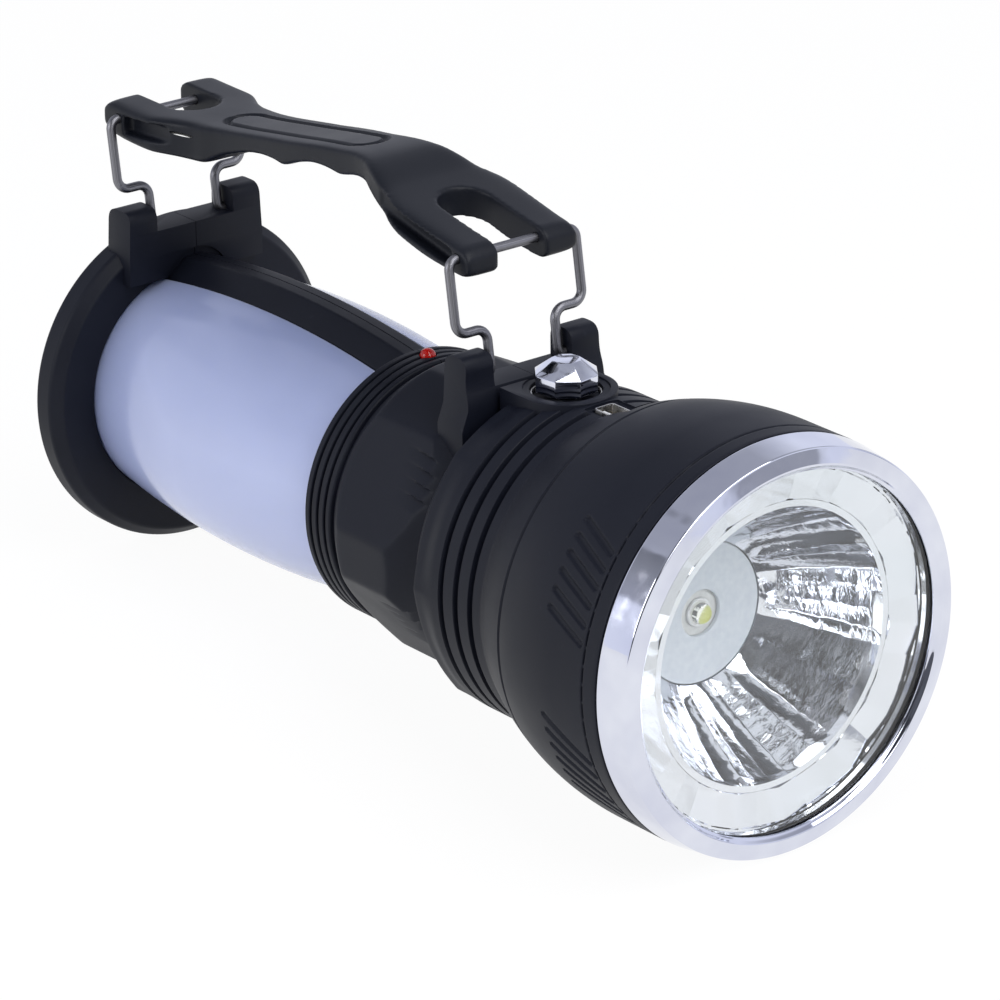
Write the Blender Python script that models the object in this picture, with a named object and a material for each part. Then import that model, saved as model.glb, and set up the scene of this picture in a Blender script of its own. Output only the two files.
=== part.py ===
"""Rechargeable spotlight: a torch head, a translucent lantern barrel and a folding carry handle.

Lengths are in metres and +Z is up. The torch axis is +X. The origin is the centre of the flat base.
"""
import math

import bmesh
import bpy
from mathutils import Matrix, Vector

# Fits
clearance = 0.0003
overrun = 0.002
weld_distance = 0.000001

# Facets of round shapes
big_round = 36
middle_round = 24
small_round = 12
arc_steps = 5
inner_arc_steps = 3
corner_steps = 3
screw_round = 8
rod_facet_turn = 5
sharp_angle = 32

# Base flange and its cover
flange_rise = 0.0122
flange_depth = 0.0083
flange_wall = 0.0025
flange_chamfer = 0.0018
cover_thickness = 0.0020
cover_screw_offset = 0.0030
cover_screw_angles = (42, 138, 222, 318)
cover_boss_radius = 0.0034

# Lantern barrel
barrel_length = 0.0923
barrel_headroom = 0.0092
barrel_bulge = 0.0035
diffuser_wall = 0.0020
diffuser_tongue = 0.0012
spine_half_width = 0.0087
spine_top_half_width = 0.0052
spine_rise = 0.0032
frame_depth = 0.0030

# Ribbed ring and neck
ring_rise = 0.0039
ring_length = 0.0097
ring_groove_width = 0.0009
ring_groove_depth = 0.0009
ring_groove_pitch = 0.0030
ring_groove_count = 3
neck_drop = 0.0019
neck_length = 0.0170
neck_step = 0.0010
flare_length = 0.0065
collar_rise = 0.0045
collar_length = 0.0132
neck_bore_inset = 0.0038
neck_corner_angles = (77, 53, 0, -25, -78)
bulkhead_thickness = 0.0020
wire_hole_radius = 0.0060

# Head shell
head_rim_length = 0.0155
head_rear_rise = 0.0001
head_shoulder_rise = 0.0039
head_rear_taper = 0.0040
head_straight_length = 0.0287
bell_rise = 0.0090
bell_length = 0.0360
head_wall = 0.0023
head_rear_wall = 0.0030
head_side_wall = 0.0033
head_groove_start = 0.0130
head_groove_pitch = 0.0054
head_groove_width = 0.0016
head_groove_depth = 0.0016
head_groove_count = 3
seam_width = 0.0006
seam_depth = 0.0006
seam_inset = 0.0068
bezel_wall = 0.0029
spigot_wall = 0.0022
spigot_length = 0.0035
joint_wall = 0.0055
joint_lip_rise = 0.0033
joint_lip_thickness = 0.0020
head_bulkhead_spacing = 0.0028

# Button, its ring and the platform they sit on
button_inset = 0.0099
platform_margin = 0.0047
platform_rise = 0.0003
platform_sink = 0.0012
button_radius = 0.0073
button_side_height = 0.0036
button_crown_height = 0.0026
button_crown_radius = 0.0044
button_lift = 0.0008
button_facets = 10
button_travel = 0.0010
button_stem_radius = 0.0025
button_recess_depth = 0.0022
button_ring_wall = 0.0006
button_ring_rise = 0.0009

# USB socket, upright in a pocket behind the bell
usb_spacing = 0.0198
usb_length = 0.0130
usb_width = 0.0057
usb_wall = 0.0004
usb_mouth_drop = 0.0006
usb_pocket_margin = 0.0022
usb_pocket_depth = 0.0014
usb_tongue_length = 0.0112
usb_tongue_thickness = 0.0019
usb_tongue_base = 0.0025
usb_tongue_inset = 0.0010

# Control board and switch
board_drop = 0.0081
board_thickness = 0.0016
board_half_width = 0.0130
board_rear_inset = 0.0062
board_margin = 0.0020
board_post_spacing = 0.0093
board_post_offset = 0.0095
board_post_radius = 0.0024
board_screw_radius = 0.0009
board_screw_length = 0.0060
switch_size = 0.0060
switch_height = 0.0036
plunger_radius = 0.0017
plunger_rise = 0.0011
plunger_depth = 0.0019

# Lamp
bezel_length = 0.0094
bezel_taper = 0.0014
bezel_lip_reach = 0.0035
bezel_lip_thickness = 0.0015
bezel_round = 0.0012
lens_thickness = 0.0015
gasket_thickness = 0.0008
gasket_width = 0.0018
reflector_flange = 0.0010
reflector_wall = 0.0012
facet_margin = 0.0019
facet_width = 0.0080
facet_depth = 0.0018
bowl_ledge = 0.0016
bowl_depth = 0.0250
bowl_flare = 0.0156
bowl_steps = 4
bowl_back_share = 0.95
led_disc_thickness = 0.0012
led_hole_room = 0.0022
led_board_margin = 0.0039
led_board_thickness = 0.0014
emitter_radius = 0.0034
emitter_base = 0.0009
emitter_dome_radius = 0.0026
heat_sink_margin = 0.0017
heat_sink_lip = 0.0050
heat_sink_step = 0.0050
heat_sink_flange = 0.0030
heat_sink_tail = 0.0060
heat_sink_fin_gap = 0.0016
heat_sink_fin_depth = 0.0045
heat_sink_fin_count = 2
heat_screw_offset = 0.0022
heat_screw_count = 3

# Lantern inside
tray_side_room = 0.00025
tray_end_room = 0.0006
tray_wall = 0.0014
tray_end_wall = 0.0017
cell_radius = 0.00925
cell_length = 0.0650
cell_cap_radius = 0.0028
cell_cap_height = 0.0012
contact_thickness = 0.0005
contact_spring_length = 0.0016
contact_spring_radius = 0.0030
charger_thickness = 0.0016
light_plate_thickness = 0.0012
light_plate_core_share = 0.75
lantern_board_margin = 0.0115
lantern_board_thickness = 0.0012
lantern_board_half_height = 0.0060
lantern_led_size = 0.0030
lantern_led_height = 0.0009
lantern_led_count = 6

# Indicator
indicator_radius = 0.0020
indicator_depth = 0.0035
indicator_inset = 0.0045

# Brackets, bails and handle
rear_pivot_inset = 0.0013
front_pivot_inset = 0.0050
pivot_rise = 0.0003
bail_length = 0.0283
bail_lean = 9
ear_half_length = 0.0043
ear_gap = 0.0008
ear_width = 0.0084
ear_rise = 0.0043
ear_round = 0.0026
bracket_sink = 0.0020
front_bridge_drop = 0.0019
arch_margin = 0.0009
arch_drop = 0.0038
wire_radius = 0.0010
bail_side_gap = 0.0025
bail_foot = 0.0100
bail_jog = 0.0106
bail_pin_cover = 0.0027
bail_bend = 0.0022
bail_foot_bend = 0.0015
wire_path_steps = 2
handle_reach = 0.0066
handle_half_width = 0.0162
handle_height = 0.0096
handle_thickness = 0.0076
handle_corner = 0.0018
handle_end_round = 0.0042
handle_end_squeeze_share = 0.9
handle_corner_share = 0.45
handle_top_over_wire = 0.0026
prong_width = 0.0092
rear_fork_depth = 0.0225
front_fork_depth = 0.0300
channel_length = 0.0300
channel_start = 0.0045
channel_height = 0.0034
channel_depth = 0.0018
handle_stations = 26
handle_top_shares = (
    (0.0, 0.0), (0.13, 0.0), (0.26, 0.14), (0.43, 0.54), (0.56, 0.84),
    (0.67, 1.0), (0.76, 0.64), (0.86, 0.34), (0.93, 0.12), (1.0, -0.06),
)
handle_thickness_shares = (
    (0.0, 0.92), (0.12, 0.84), (0.22, 0.98), (0.30, 0.70), (0.45, 0.72),
    (0.62, 0.76), (0.73, 0.72), (0.80, 0.78), (0.88, 1.04), (1.0, 0.96),
)
handle_width_shares = (
    (0.0, 1.0), (0.15, 1.0), (0.19, 0.93), (0.24, 0.66), (0.32, 0.57),
    (0.46, 0.51), (0.69, 0.50), (0.76, 0.64), (0.81, 0.92), (0.86, 1.0), (1.0, 1.0),
)
finger_wave_shares = (0.34, 0.66)
finger_wave_count = 3
finger_wave_depth = 0.0008

# Screws
screw_head_radius = 0.0028
screw_head_height = 0.0018
screw_shank_radius = 0.0013
screw_slot_width = 0.0006
screw_boss_radius = 0.0046
housing_screw_length = 0.0150
housing_screw_seat = 0.0060
housing_screw_offset = 0.0102
cover_screw_length = 0.0050
cover_screw_head_height = 0.0011
heat_screw_length = 0.0040
small_screw_head_radius = 0.0020
small_screw_head_height = 0.0012

# Sizes worked out from the sizes above, from the cells outwards
tray_half_width = cell_radius + tray_side_room + tray_wall
tray_half_height = 2 * cell_radius + clearance + tray_end_room + tray_wall
barrel_end_radius = tray_half_height + barrel_headroom
flange_radius = barrel_end_radius + flange_rise
cover_screw_circle = barrel_end_radius + cover_screw_offset
ring_radius = barrel_end_radius + ring_rise
neck_corner_radius = ring_radius - neck_drop
neck_bore_radius = barrel_end_radius - neck_bore_inset
housing_screw_rise = neck_bore_radius - housing_screw_offset
collar_radius = neck_corner_radius + collar_rise
neck_joint_radius = collar_radius - joint_wall
head_rear_radius = collar_radius + head_rear_rise
head_body_radius = head_rear_radius + head_shoulder_rise
head_front_radius = head_body_radius + bell_rise
head_inner_radius = head_body_radius - head_side_wall
head_length = head_straight_length + bell_length + head_rim_length
spigot_radius = head_front_radius - bezel_wall
spigot_inner = spigot_radius - spigot_wall
bezel_front_radius = head_front_radius - bezel_taper
bezel_lip_radius = spigot_radius - bezel_lip_reach
facet_outer_radius = spigot_inner - facet_margin
facet_inner_radius = facet_outer_radius - facet_width
bowl_radius = facet_inner_radius - bowl_ledge
bowl_floor_radius = bowl_radius - bowl_flare
led_hole_radius = emitter_radius + led_hole_room
led_board_radius = led_hole_radius + led_board_margin
heat_sink_radius = bowl_floor_radius + heat_sink_margin
heat_sink_flange_radius = heat_sink_radius + heat_sink_lip
heat_screw_circle = heat_sink_radius + heat_screw_offset
bulkhead_hole_radius = heat_sink_radius - heat_sink_step
platform_radius = button_radius + platform_margin
platform_height = head_body_radius + platform_rise
platform_root = head_inner_radius - platform_sink
usb_mouth_height = platform_height - usb_mouth_drop
usb_pocket_floor = platform_height - usb_pocket_depth
board_top = head_inner_radius - board_drop
usb_inset = button_inset + usb_spacing
board_post_inset = button_inset + board_post_spacing
board_front_inset = usb_inset + usb_length / 2 + board_margin
head_bulkhead_inset = board_front_inset + head_bulkhead_spacing
pivot_height = flange_radius + pivot_rise
rear_bridge_height = pivot_height - wire_radius - clearance
front_bridge_height = pivot_height - front_bridge_drop
bracket_root = barrel_end_radius - bracket_sink
arch_height = barrel_end_radius - arch_drop
arch_radius = spine_half_width + arch_margin
ear_inner = bail_foot + wire_radius + ear_gap
ear_outer = ear_inner + ear_width
bail_pin_reach = ear_outer - bail_pin_cover - bail_foot
bail_half_width = handle_half_width + bail_side_gap
fork_half_width = handle_half_width - prong_width

# Places worked out from the sizes above
barrel_start = flange_depth
ring_start = barrel_start + barrel_length
neck_start = ring_start + ring_length
flare_start = neck_start + neck_length
collar_start = flare_start + flare_length
neck_end = collar_start + collar_length
head_start = neck_end + clearance
head_front = head_start + head_length
bell_start = head_start + head_straight_length
bell_end = bell_start + bell_length
spigot_front = head_front + spigot_length
bezel_start = head_front + clearance
bezel_front = bezel_start + bezel_length
reflector_back = spigot_front + clearance
reflector_front = reflector_back + reflector_flange
gasket_start = reflector_front + clearance
lens_start = gasket_start + gasket_thickness + clearance
lip_back = lens_start + lens_thickness + clearance
bowl_front = reflector_front - facet_depth - reflector_flange
bowl_back = bowl_front - bowl_depth
disc_back = bowl_back - led_disc_thickness
led_board_front = disc_back - clearance
led_board_back = led_board_front - led_board_thickness
heat_sink_front = led_board_back - clearance
bulkhead_front = head_start + head_bulkhead_inset
heat_sink_back = bulkhead_front + clearance
button_x = head_start + button_inset
usb_x = head_start + usb_inset
pivot_rear_x = flange_depth - rear_pivot_inset
pivot_front_x = neck_end - front_pivot_inset
pivot_spacing = pivot_front_x - pivot_rear_x
lean = math.radians(bail_lean)
wire_rear_x = pivot_rear_x - bail_length * math.sin(lean)
wire_front_x = wire_rear_x + pivot_spacing
wire_height = pivot_height + bail_length * math.cos(lean)
hole_radius = wire_radius + clearance
tray_start = cover_thickness + clearance
bulkhead_back = ring_start + frame_depth
tray_end = bulkhead_back - clearance


def clear_scene():
    for item in list(bpy.data.objects):
        bpy.data.objects.remove(item, do_unlink=True)


def material(name, colour, roughness, metallic=0.0, transmission=0.0):
    """A Principled material from a hex sRGB colour."""
    made = bpy.data.materials.get(name)
    if made:
        return made
    made = bpy.data.materials.new(name)
    made.use_nodes = True
    shader = made.node_tree.nodes["Principled BSDF"]
    channels = [int(colour[place:place + 2], 16) / 255 for place in (0, 2, 4)]
    linear = [c / 12.92 if c <= 0.04045 else ((c + 0.055) / 1.055) ** 2.4 for c in channels]
    shader.inputs["Base Color"].default_value = (*linear, 1.0)
    shader.inputs["Roughness"].default_value = roughness
    shader.inputs["Metallic"].default_value = metallic
    shader.inputs["Transmission Weight"].default_value = transmission
    made.diffuse_color = (*linear, 1.0)
    return made


def black_plastic():
    return material("black_plastic", "232329", 0.45)


def handle_plastic():
    return material("handle_plastic", "26262C", 0.5)


def milky_plastic():
    return material("milky_plastic", "C9D2EE", 0.35, transmission=0.2)


def white_plastic():
    return material("white_plastic", "E8E9EC", 0.5)


def bright_chrome():
    return material("bright_chrome", "D9D8DF", 0.08, metallic=1.0)


def steel_wire():
    return material("steel_wire", "9A9A9C", 0.3, metallic=1.0)


def mirror_coat():
    return material("mirror_coat", "E6E8EE", 0.05, metallic=1.0)


def clear_plastic():
    return material("clear_plastic", "FFFFFF", 0.02, transmission=1.0)


def board_green():
    return material("board_green", "1E5A35", 0.5)


def bare_aluminium():
    return material("bare_aluminium", "A8ABB0", 0.35, metallic=1.0)


def plated_steel():
    return material("plated_steel", "B8BABE", 0.3, metallic=1.0)


def soft_rubber():
    return material("soft_rubber", "1A1A1C", 0.8)


def finish(bm, name, surface, smooth=True):
    """Turn a bmesh into a named object with a material and tidy normals."""
    bmesh.ops.remove_doubles(bm, verts=bm.verts, dist=weld_distance)
    bmesh.ops.recalc_face_normals(bm, faces=bm.faces)
    mesh = bpy.data.meshes.new(name)
    bm.to_mesh(mesh)
    bm.free()
    mesh.materials.append(surface)
    if smooth:
        mesh.shade_smooth()
        mesh.set_sharp_from_angle(angle=math.radians(sharp_angle))
    made = bpy.data.objects.new(name, mesh)
    bpy.context.scene.collection.objects.link(made)
    return made


def turned(name, outline, surface, segments=big_round):
    """Spin a closed outline of (x, radius) points round the X axis."""
    bm = bmesh.new()
    verts = [bm.verts.new((x, 0.0, radius)) for x, radius in outline]
    pairs = zip(verts, verts[1:] + verts[:1])
    edges = [bm.edges.new(pair) for pair in pairs if pair[0].co.z > 0 or pair[1].co.z > 0]
    bmesh.ops.spin(
        bm, geom=verts + edges, cent=(0, 0, 0), axis=(1, 0, 0),
        angle=math.tau, steps=segments, use_merge=True,
    )
    return finish(bm, name, surface)


def prism(name, outline, axis, start, end, surface):
    """Push a flat outline along X, Y or Z, from start to end."""
    places = {
        "X": lambda a, b: (start, a, b),
        "Y": lambda a, b: (a, start, b),
        "Z": lambda a, b: (a, b, start),
    }
    bm = bmesh.new()
    face = bm.faces.new([bm.verts.new(places[axis](a, b)) for a, b in outline])
    pushed = bmesh.ops.extrude_face_region(bm, geom=[face])
    moved = [item for item in pushed["geom"] if isinstance(item, bmesh.types.BMVert)]
    reach = Vector([end - start if axis == letter else 0.0 for letter in "XYZ"])
    bmesh.ops.translate(bm, verts=moved, vec=reach)
    return finish(bm, name, surface)


def block(name, low, high, surface):
    """A box between two corners."""
    outline = [(low[0], low[1]), (high[0], low[1]), (high[0], high[1]), (low[0], high[1])]
    return prism(name, outline, "Z", low[2], high[2], surface)


def rod(name, start, end, radius, surface, segments=small_round, end_radius=None):
    """A cylinder or cone between two points."""
    start = Vector(start)
    way = Vector(end) - start
    bm = bmesh.new()
    bmesh.ops.create_cone(
        bm, cap_ends=True, segments=segments, radius1=radius,
        radius2=radius if end_radius is None else end_radius, depth=way.length,
    )
    roll = Matrix.Rotation(math.radians(rod_facet_turn), 4, "Z")
    turn = way.to_track_quat("Z", "Y").to_matrix().to_4x4() @ roll
    bmesh.ops.transform(bm, matrix=Matrix.Translation(start + way / 2) @ turn, verts=bm.verts)
    return finish(bm, name, surface)


def loft(name, rings, surface):
    """Join rings of points, in order, into one closed skin."""
    bm = bmesh.new()
    loops = [[bm.verts.new(point) for point in ring] for ring in rings]
    for near, far in zip(loops, loops[1:]):
        count = len(near)
        for place in range(count):
            after = (place + 1) % count
            bm.faces.new((near[place], near[after], far[after], far[place]))
    bm.faces.new(loops[0])
    bm.faces.new(loops[-1])
    return finish(bm, name, surface)


def combine(target, others, operation):
    """Add, subtract or intersect whole objects, and keep only the result."""
    for other in others:
        change = target.modifiers.new(operation.lower(), "BOOLEAN")
        change.operation = operation
        change.solver = "EXACT"
        change.object = other
    bpy.context.view_layer.update()
    seen = target.evaluated_get(bpy.context.evaluated_depsgraph_get())
    mesh = bpy.data.meshes.new_from_object(seen)
    bm = bmesh.new()
    bm.from_mesh(mesh)
    bmesh.ops.remove_doubles(bm, verts=bm.verts, dist=weld_distance)
    bm.to_mesh(mesh)
    bm.free()
    mesh.name = target.name
    target.modifiers.clear()
    target.data = mesh
    for other in others:
        bpy.data.objects.remove(other, do_unlink=True)
    return target


def add(target, *others):
    return combine(target, others, "UNION")


def cut(target, *others):
    return combine(target, others, "DIFFERENCE")


def keep(target, other):
    return combine(target, [other], "INTERSECT")


def copy_of(source, name):
    """A second object with a mesh of its own."""
    made = bpy.data.objects.new(name, source.data.copy())
    bpy.context.scene.collection.objects.link(made)
    return made


def polar(radius, angle):
    """A (y, z) point at an angle in degrees from the near side, -Y, up towards +Z."""
    turn = math.radians(angle)
    return (-radius * math.cos(turn), radius * math.sin(turn))


def arc_points(centre, radius, first, last, steps):
    """Points on a circle between two angles in degrees."""
    points = []
    for step in range(steps + 1):
        turn = math.radians(first + (last - first) * step / steps)
        points.append((centre[0] + radius * math.cos(turn), centre[1] + radius * math.sin(turn)))
    return points


def barrel_radius(x, offset=0.0):
    """The lantern barrel's radius at x, from one long arc, plus an offset."""
    half = barrel_length / 2
    big = (half ** 2 + barrel_bulge ** 2) / (2 * barrel_bulge)
    along = x - barrel_start - half
    return math.sqrt(big ** 2 - along ** 2) - big + barrel_end_radius + barrel_bulge + offset


def barrel_shell(name, start, end, outer, inner, surface):
    """A turned shell that follows the barrel's arc."""
    stations = [start + (end - start) * step / arc_steps for step in range(arc_steps + 1)]
    top = [(x, barrel_radius(x, outer)) for x in stations]
    under = [(x, barrel_radius(x, inner)) for x in reversed(stations)]
    return turned(name, top + under, surface)


def bell_radius(x):
    """The head's radius along its flare, an arc that ends level at bell_end."""
    rise = head_front_radius - head_body_radius
    big = (bell_length ** 2 + rise ** 2) / (2 * rise)
    along = min(max(x, bell_start), bell_end) - bell_end
    return head_front_radius - big + math.sqrt(big ** 2 - along ** 2)


def flange_body():
    """The base cup with its screw bosses, its tray hole and the groove that holds the diffusers."""
    inner = flange_radius - flange_wall
    wall_back = flange_depth - flange_wall
    tray_hole = math.hypot(tray_half_width, tray_half_height) + clearance
    groove_back = flange_depth - diffuser_tongue - clearance
    groove_top = barrel_end_radius + clearance
    groove_under = barrel_end_radius - diffuser_wall - 2 * clearance
    outline = [
        (0.0, inner), (0.0, flange_radius), (flange_depth - flange_chamfer, flange_radius),
        (flange_depth, flange_radius - flange_chamfer), (flange_depth, groove_top),
        (groove_back, groove_top), (groove_back, groove_under), (flange_depth, groove_under),
        (flange_depth, tray_hole), (wall_back, tray_hole), (wall_back, inner),
    ]
    flange = turned("flange", outline, black_plastic())
    bosses = []
    for y, z in cover_screw_places():
        low = (cover_thickness + clearance, y, z)
        high = (wall_back + clearance, y, z)
        bosses.append(rod("boss", low, high, cover_boss_radius, black_plastic()))
    return add(flange, *bosses)


def cover_screw_places():
    return [polar(cover_screw_circle, angle) for angle in cover_screw_angles]


def spine_body():
    """The raised bar along the top of the barrel."""
    start = flange_depth - flange_wall / 2
    end = ring_start + frame_depth / 2
    bar = barrel_shell("spine", start, end, spine_rise, -frame_depth, black_plastic())
    shoulder = barrel_radius(start) * math.cos(math.asin(spine_half_width / barrel_end_radius))
    top = barrel_end_radius + barrel_bulge + spine_rise + overrun
    outline = [
        (-spine_half_width, 0.0), (spine_half_width, 0.0), (spine_half_width, shoulder + spine_rise),
        (spine_top_half_width, top), (-spine_top_half_width, top),
        (-spine_half_width, shoulder + spine_rise),
    ]
    return keep(bar, prism("wedge", outline, "X", 0.0, neck_start, black_plastic()))


def belly_body():
    """The flush bar along the bottom of the barrel."""
    start = flange_depth - flange_wall / 2
    end = ring_start + frame_depth / 2
    bar = barrel_shell("belly", start, end, 0.0, -frame_depth, black_plastic())
    low = (0.0, -spine_half_width, -flange_radius)
    high = (neck_start, spine_half_width, 0.0)
    return keep(bar, block("strip", low, high, black_plastic()))


def neck_corners(radius):
    """The neck's faceted outline, the same on both sides."""
    near = [polar(radius, angle) for angle in neck_corner_angles]
    return near + [(-y, z) for y, z in reversed(near)]


def ring_outline():
    """The ribbed ring, with a pocket behind for the tray and a groove that holds the diffusers."""
    groove_under = barrel_end_radius - diffuser_wall - 2 * clearance
    groove_front = ring_start + diffuser_tongue + clearance
    points = [
        (bulkhead_back, 0.0), (bulkhead_back, neck_bore_radius), (ring_start, neck_bore_radius),
        (ring_start, groove_under), (groove_front, groove_under),
        (groove_front, barrel_end_radius + clearance), (ring_start, barrel_end_radius + clearance),
        (ring_start, ring_radius),
    ]
    first = ring_start + ring_groove_pitch - ring_groove_width
    for place in range(ring_groove_count):
        start = first + place * ring_groove_pitch
        points += [
            (start, ring_radius), (start, ring_radius - ring_groove_depth),
            (start + ring_groove_width, ring_radius - ring_groove_depth),
            (start + ring_groove_width, ring_radius),
        ]
    points += [
        (neck_start + neck_step, ring_radius), (neck_start + 2 * neck_step, neck_bore_radius),
        (neck_start + 2 * neck_step, 0.0),
    ]
    return points


def neck_body():
    """The faceted neck, its flare and the round collar that the head turns against."""
    stations = [
        (neck_start - neck_step, neck_corner_radius), (flare_start, neck_corner_radius),
        (collar_start, collar_radius),
    ]
    rings = [[(x, y, z) for y, z in neck_corners(radius)] for x, radius in stations]
    neck = loft("neck", rings, black_plastic())
    lip_end = joint_lip_start() + joint_lip_thickness
    collar = turned("collar", [
        (flare_start + flare_length / 2, 0.0), (flare_start + flare_length / 2, neck_bore_radius),
        (collar_start, collar_radius), (neck_end, collar_radius),
        (neck_end, neck_joint_radius - clearance), (joint_lip_start(), neck_joint_radius - clearance),
        (joint_lip_start(), neck_joint_radius + joint_lip_rise),
        (lip_end, neck_joint_radius + joint_lip_rise), (lip_end, 0.0),
    ], black_plastic())
    return add(neck, collar)


def neck_bore():
    """The hollow ahead of the bulkhead, less the screw bosses, and the hole for the wires."""
    start = bulkhead_back + bulkhead_thickness
    end = joint_lip_start() + joint_lip_thickness + overrun
    bore = rod("bore", (start, 0, 0), (end, 0, 0), neck_bore_radius, black_plastic(), big_round)
    bosses = []
    for x, z in housing_screw_places():
        low = (x, -flange_radius, z)
        high = (x, flange_radius, z)
        bosses.append(rod("boss", low, high, screw_boss_radius, black_plastic()))
    cut(bore, *bosses)
    wires = rod("wires", (ring_start, 0, 0), (neck_end, 0, 0), wire_hole_radius, black_plastic())
    return [bore, wires]


def joint_lip_start():
    return head_start + head_rear_wall + clearance


def bracket(x, bridge_height):
    """Two round-topped ears joined by a bridge."""
    high = pivot_height + ear_rise
    back = x - ear_half_length
    front = x + ear_half_length
    outline = [
        (-ear_outer, bracket_root), (ear_outer, bracket_root), (ear_outer, high), (ear_inner, high),
        (ear_inner, bridge_height), (-ear_inner, bridge_height), (-ear_inner, high),
        (-ear_outer, high),
    ]
    body = prism("bracket", outline, "X", back - overrun, front + overrun, black_plastic())
    side = [(back, bracket_root - overrun), (front, bracket_root - overrun)]
    side += arc_points((front - ear_round, high - ear_round), ear_round, 0, 90, corner_steps)
    side += arc_points((back + ear_round, high - ear_round), ear_round, 90, 180, corner_steps)
    reach = ear_outer + overrun
    return keep(body, prism("side", side, "Y", -reach, reach, black_plastic()))


def pin_hole(x, side):
    start = (x, side * (ear_inner - overrun), pivot_height)
    end = (x, side * (bail_foot + bail_pin_reach + 2 * clearance), pivot_height)
    return rod("pin_hole", start, end, hole_radius, black_plastic())


def arch():
    """The arched recess where the spine leaves the rear bracket."""
    start = flange_depth + clearance
    end = pivot_rear_x + ear_half_length + overrun
    outline = arc_points((0.0, arch_height), arch_radius, 0, 180, arc_steps)
    outline += [(-arch_radius, arch_height - arch_radius), (arch_radius, arch_height - arch_radius)]
    return prism("arch", outline, "X", start, end, black_plastic())


def housing_screw_places():
    """The x and z of each screw that draws the two halves together."""
    behind = neck_start + neck_length / 2
    ahead = neck_end - collar_length / 2
    return [(x, z) for x in (behind, ahead) for z in (housing_screw_rise, -housing_screw_rise)]


def housing_screw_holes():
    """Shank holes that stop short of the near side, with counterbores from the far side."""
    tip = housing_screw_seat - housing_screw_length - overrun
    shank = screw_shank_radius + clearance
    head = screw_head_radius + clearance
    holes = []
    for x, z in housing_screw_places():
        seat = (x, housing_screw_seat, z)
        out = (x, flange_radius, z)
        holes.append(rod("shank", (x, tip, z), seat, shank, black_plastic()))
        back = (x, housing_screw_seat - clearance, z)
        holes.append(rod("head", back, out, head, black_plastic()))
    return holes


def cover_screw_holes():
    holes = []
    for y, z in cover_screw_places():
        start = (-overrun, y, z)
        end = (cover_thickness + cover_screw_length + clearance, y, z)
        holes.append(rod("hole", start, end, screw_shank_radius + clearance, black_plastic()))
    return holes


def housing():
    """Flange, barrel frame, ring, neck and brackets, moulded as a left and a right half."""
    inner = flange_radius - flange_wall + clearance
    wall_back = (flange_depth - flange_wall, 0, 0)
    cup = rod("cup", (-overrun, 0, 0), wall_back, inner, black_plastic(), big_round)
    front = pivot_rear_x + ear_half_length + overrun
    inside = -barrel_end_radius / 2
    groove_back = flange_depth - diffuser_tongue - clearance
    room = barrel_shell("room", groove_back, front, clearance, inside, black_plastic())
    rear = cut(bracket(pivot_rear_x, rear_bridge_height), cup, arch(), room)
    body = add(flange_body(), rear, spine_body(), belly_body())
    ring = add(turned("ring", ring_outline(), black_plastic()), neck_body())
    add(ring, bracket(pivot_front_x, front_bridge_height))
    cut(ring, *neck_bore())
    add(body, ring)
    pins = [pin_hole(x, side) for x in (pivot_rear_x, pivot_front_x) for side in (1, -1)]
    cut(body, *pins, *housing_screw_holes(), *cover_screw_holes(), indicator_hole())
    reach = pivot_height + ear_rise + overrun
    for name, side in (("housing_left", -1), ("housing_right", 1)):
        half = copy_of(body, name)
        ends = sorted((side * clearance / 2, side * reach))
        low = (-overrun, ends[0], -reach)
        high = (head_front, ends[1], reach)
        keep(half, block("half", low, high, black_plastic()))
    bpy.data.objects.remove(body, do_unlink=True)


def indicator_x():
    return ring_start + indicator_inset


def indicator_hole():
    start = (indicator_x(), 0, neck_bore_radius - overrun)
    end = (indicator_x(), 0, ring_radius + overrun)
    return rod("hole", start, end, indicator_radius + clearance, black_plastic())


def indicator():
    """The red dome that shows charging, on the ring's top."""
    red = material("red_lamp", "C8281E", 0.15, transmission=0.3)
    top = ring_radius - ring_groove_depth / 2
    x = indicator_x()
    body = rod("indicator_led", (x, 0, top - indicator_depth), (x, 0, top), indicator_radius, red)
    bm = bmesh.new()
    bmesh.ops.create_uvsphere(bm, u_segments=small_round, v_segments=small_round, radius=indicator_radius)
    bmesh.ops.translate(bm, verts=bm.verts, vec=(x, 0, top))
    add(body, finish(bm, "dome", red))


def cover():
    """The round base cover, flush with the flange's rim."""
    radius = flange_radius - flange_wall - clearance
    outline = [(0.0, 0.0), (0.0, radius), (cover_thickness, radius), (cover_thickness, 0.0)]
    disc = turned("base_cover", outline, black_plastic())
    shank = screw_shank_radius + clearance
    head = screw_head_radius + clearance
    holes = []
    for y, z in cover_screw_places():
        back = (-overrun, y, z)
        seat = (cover_screw_head_height + clearance, y, z)
        front = (cover_thickness + overrun, y, z)
        holes.append(rod("head", back, seat, head, black_plastic()))
        holes.append(rod("shank", back, front, shank, black_plastic()))
    cut(disc, *holes)
    for place, (y, z) in enumerate(cover_screw_places()):
        made = screw(
            f"base_screw_{place + 1}", screw_head_radius, cover_screw_head_height,
            screw_shank_radius, cover_screw_length,
        )
        made.location = (cover_screw_head_height, y, z)


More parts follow.
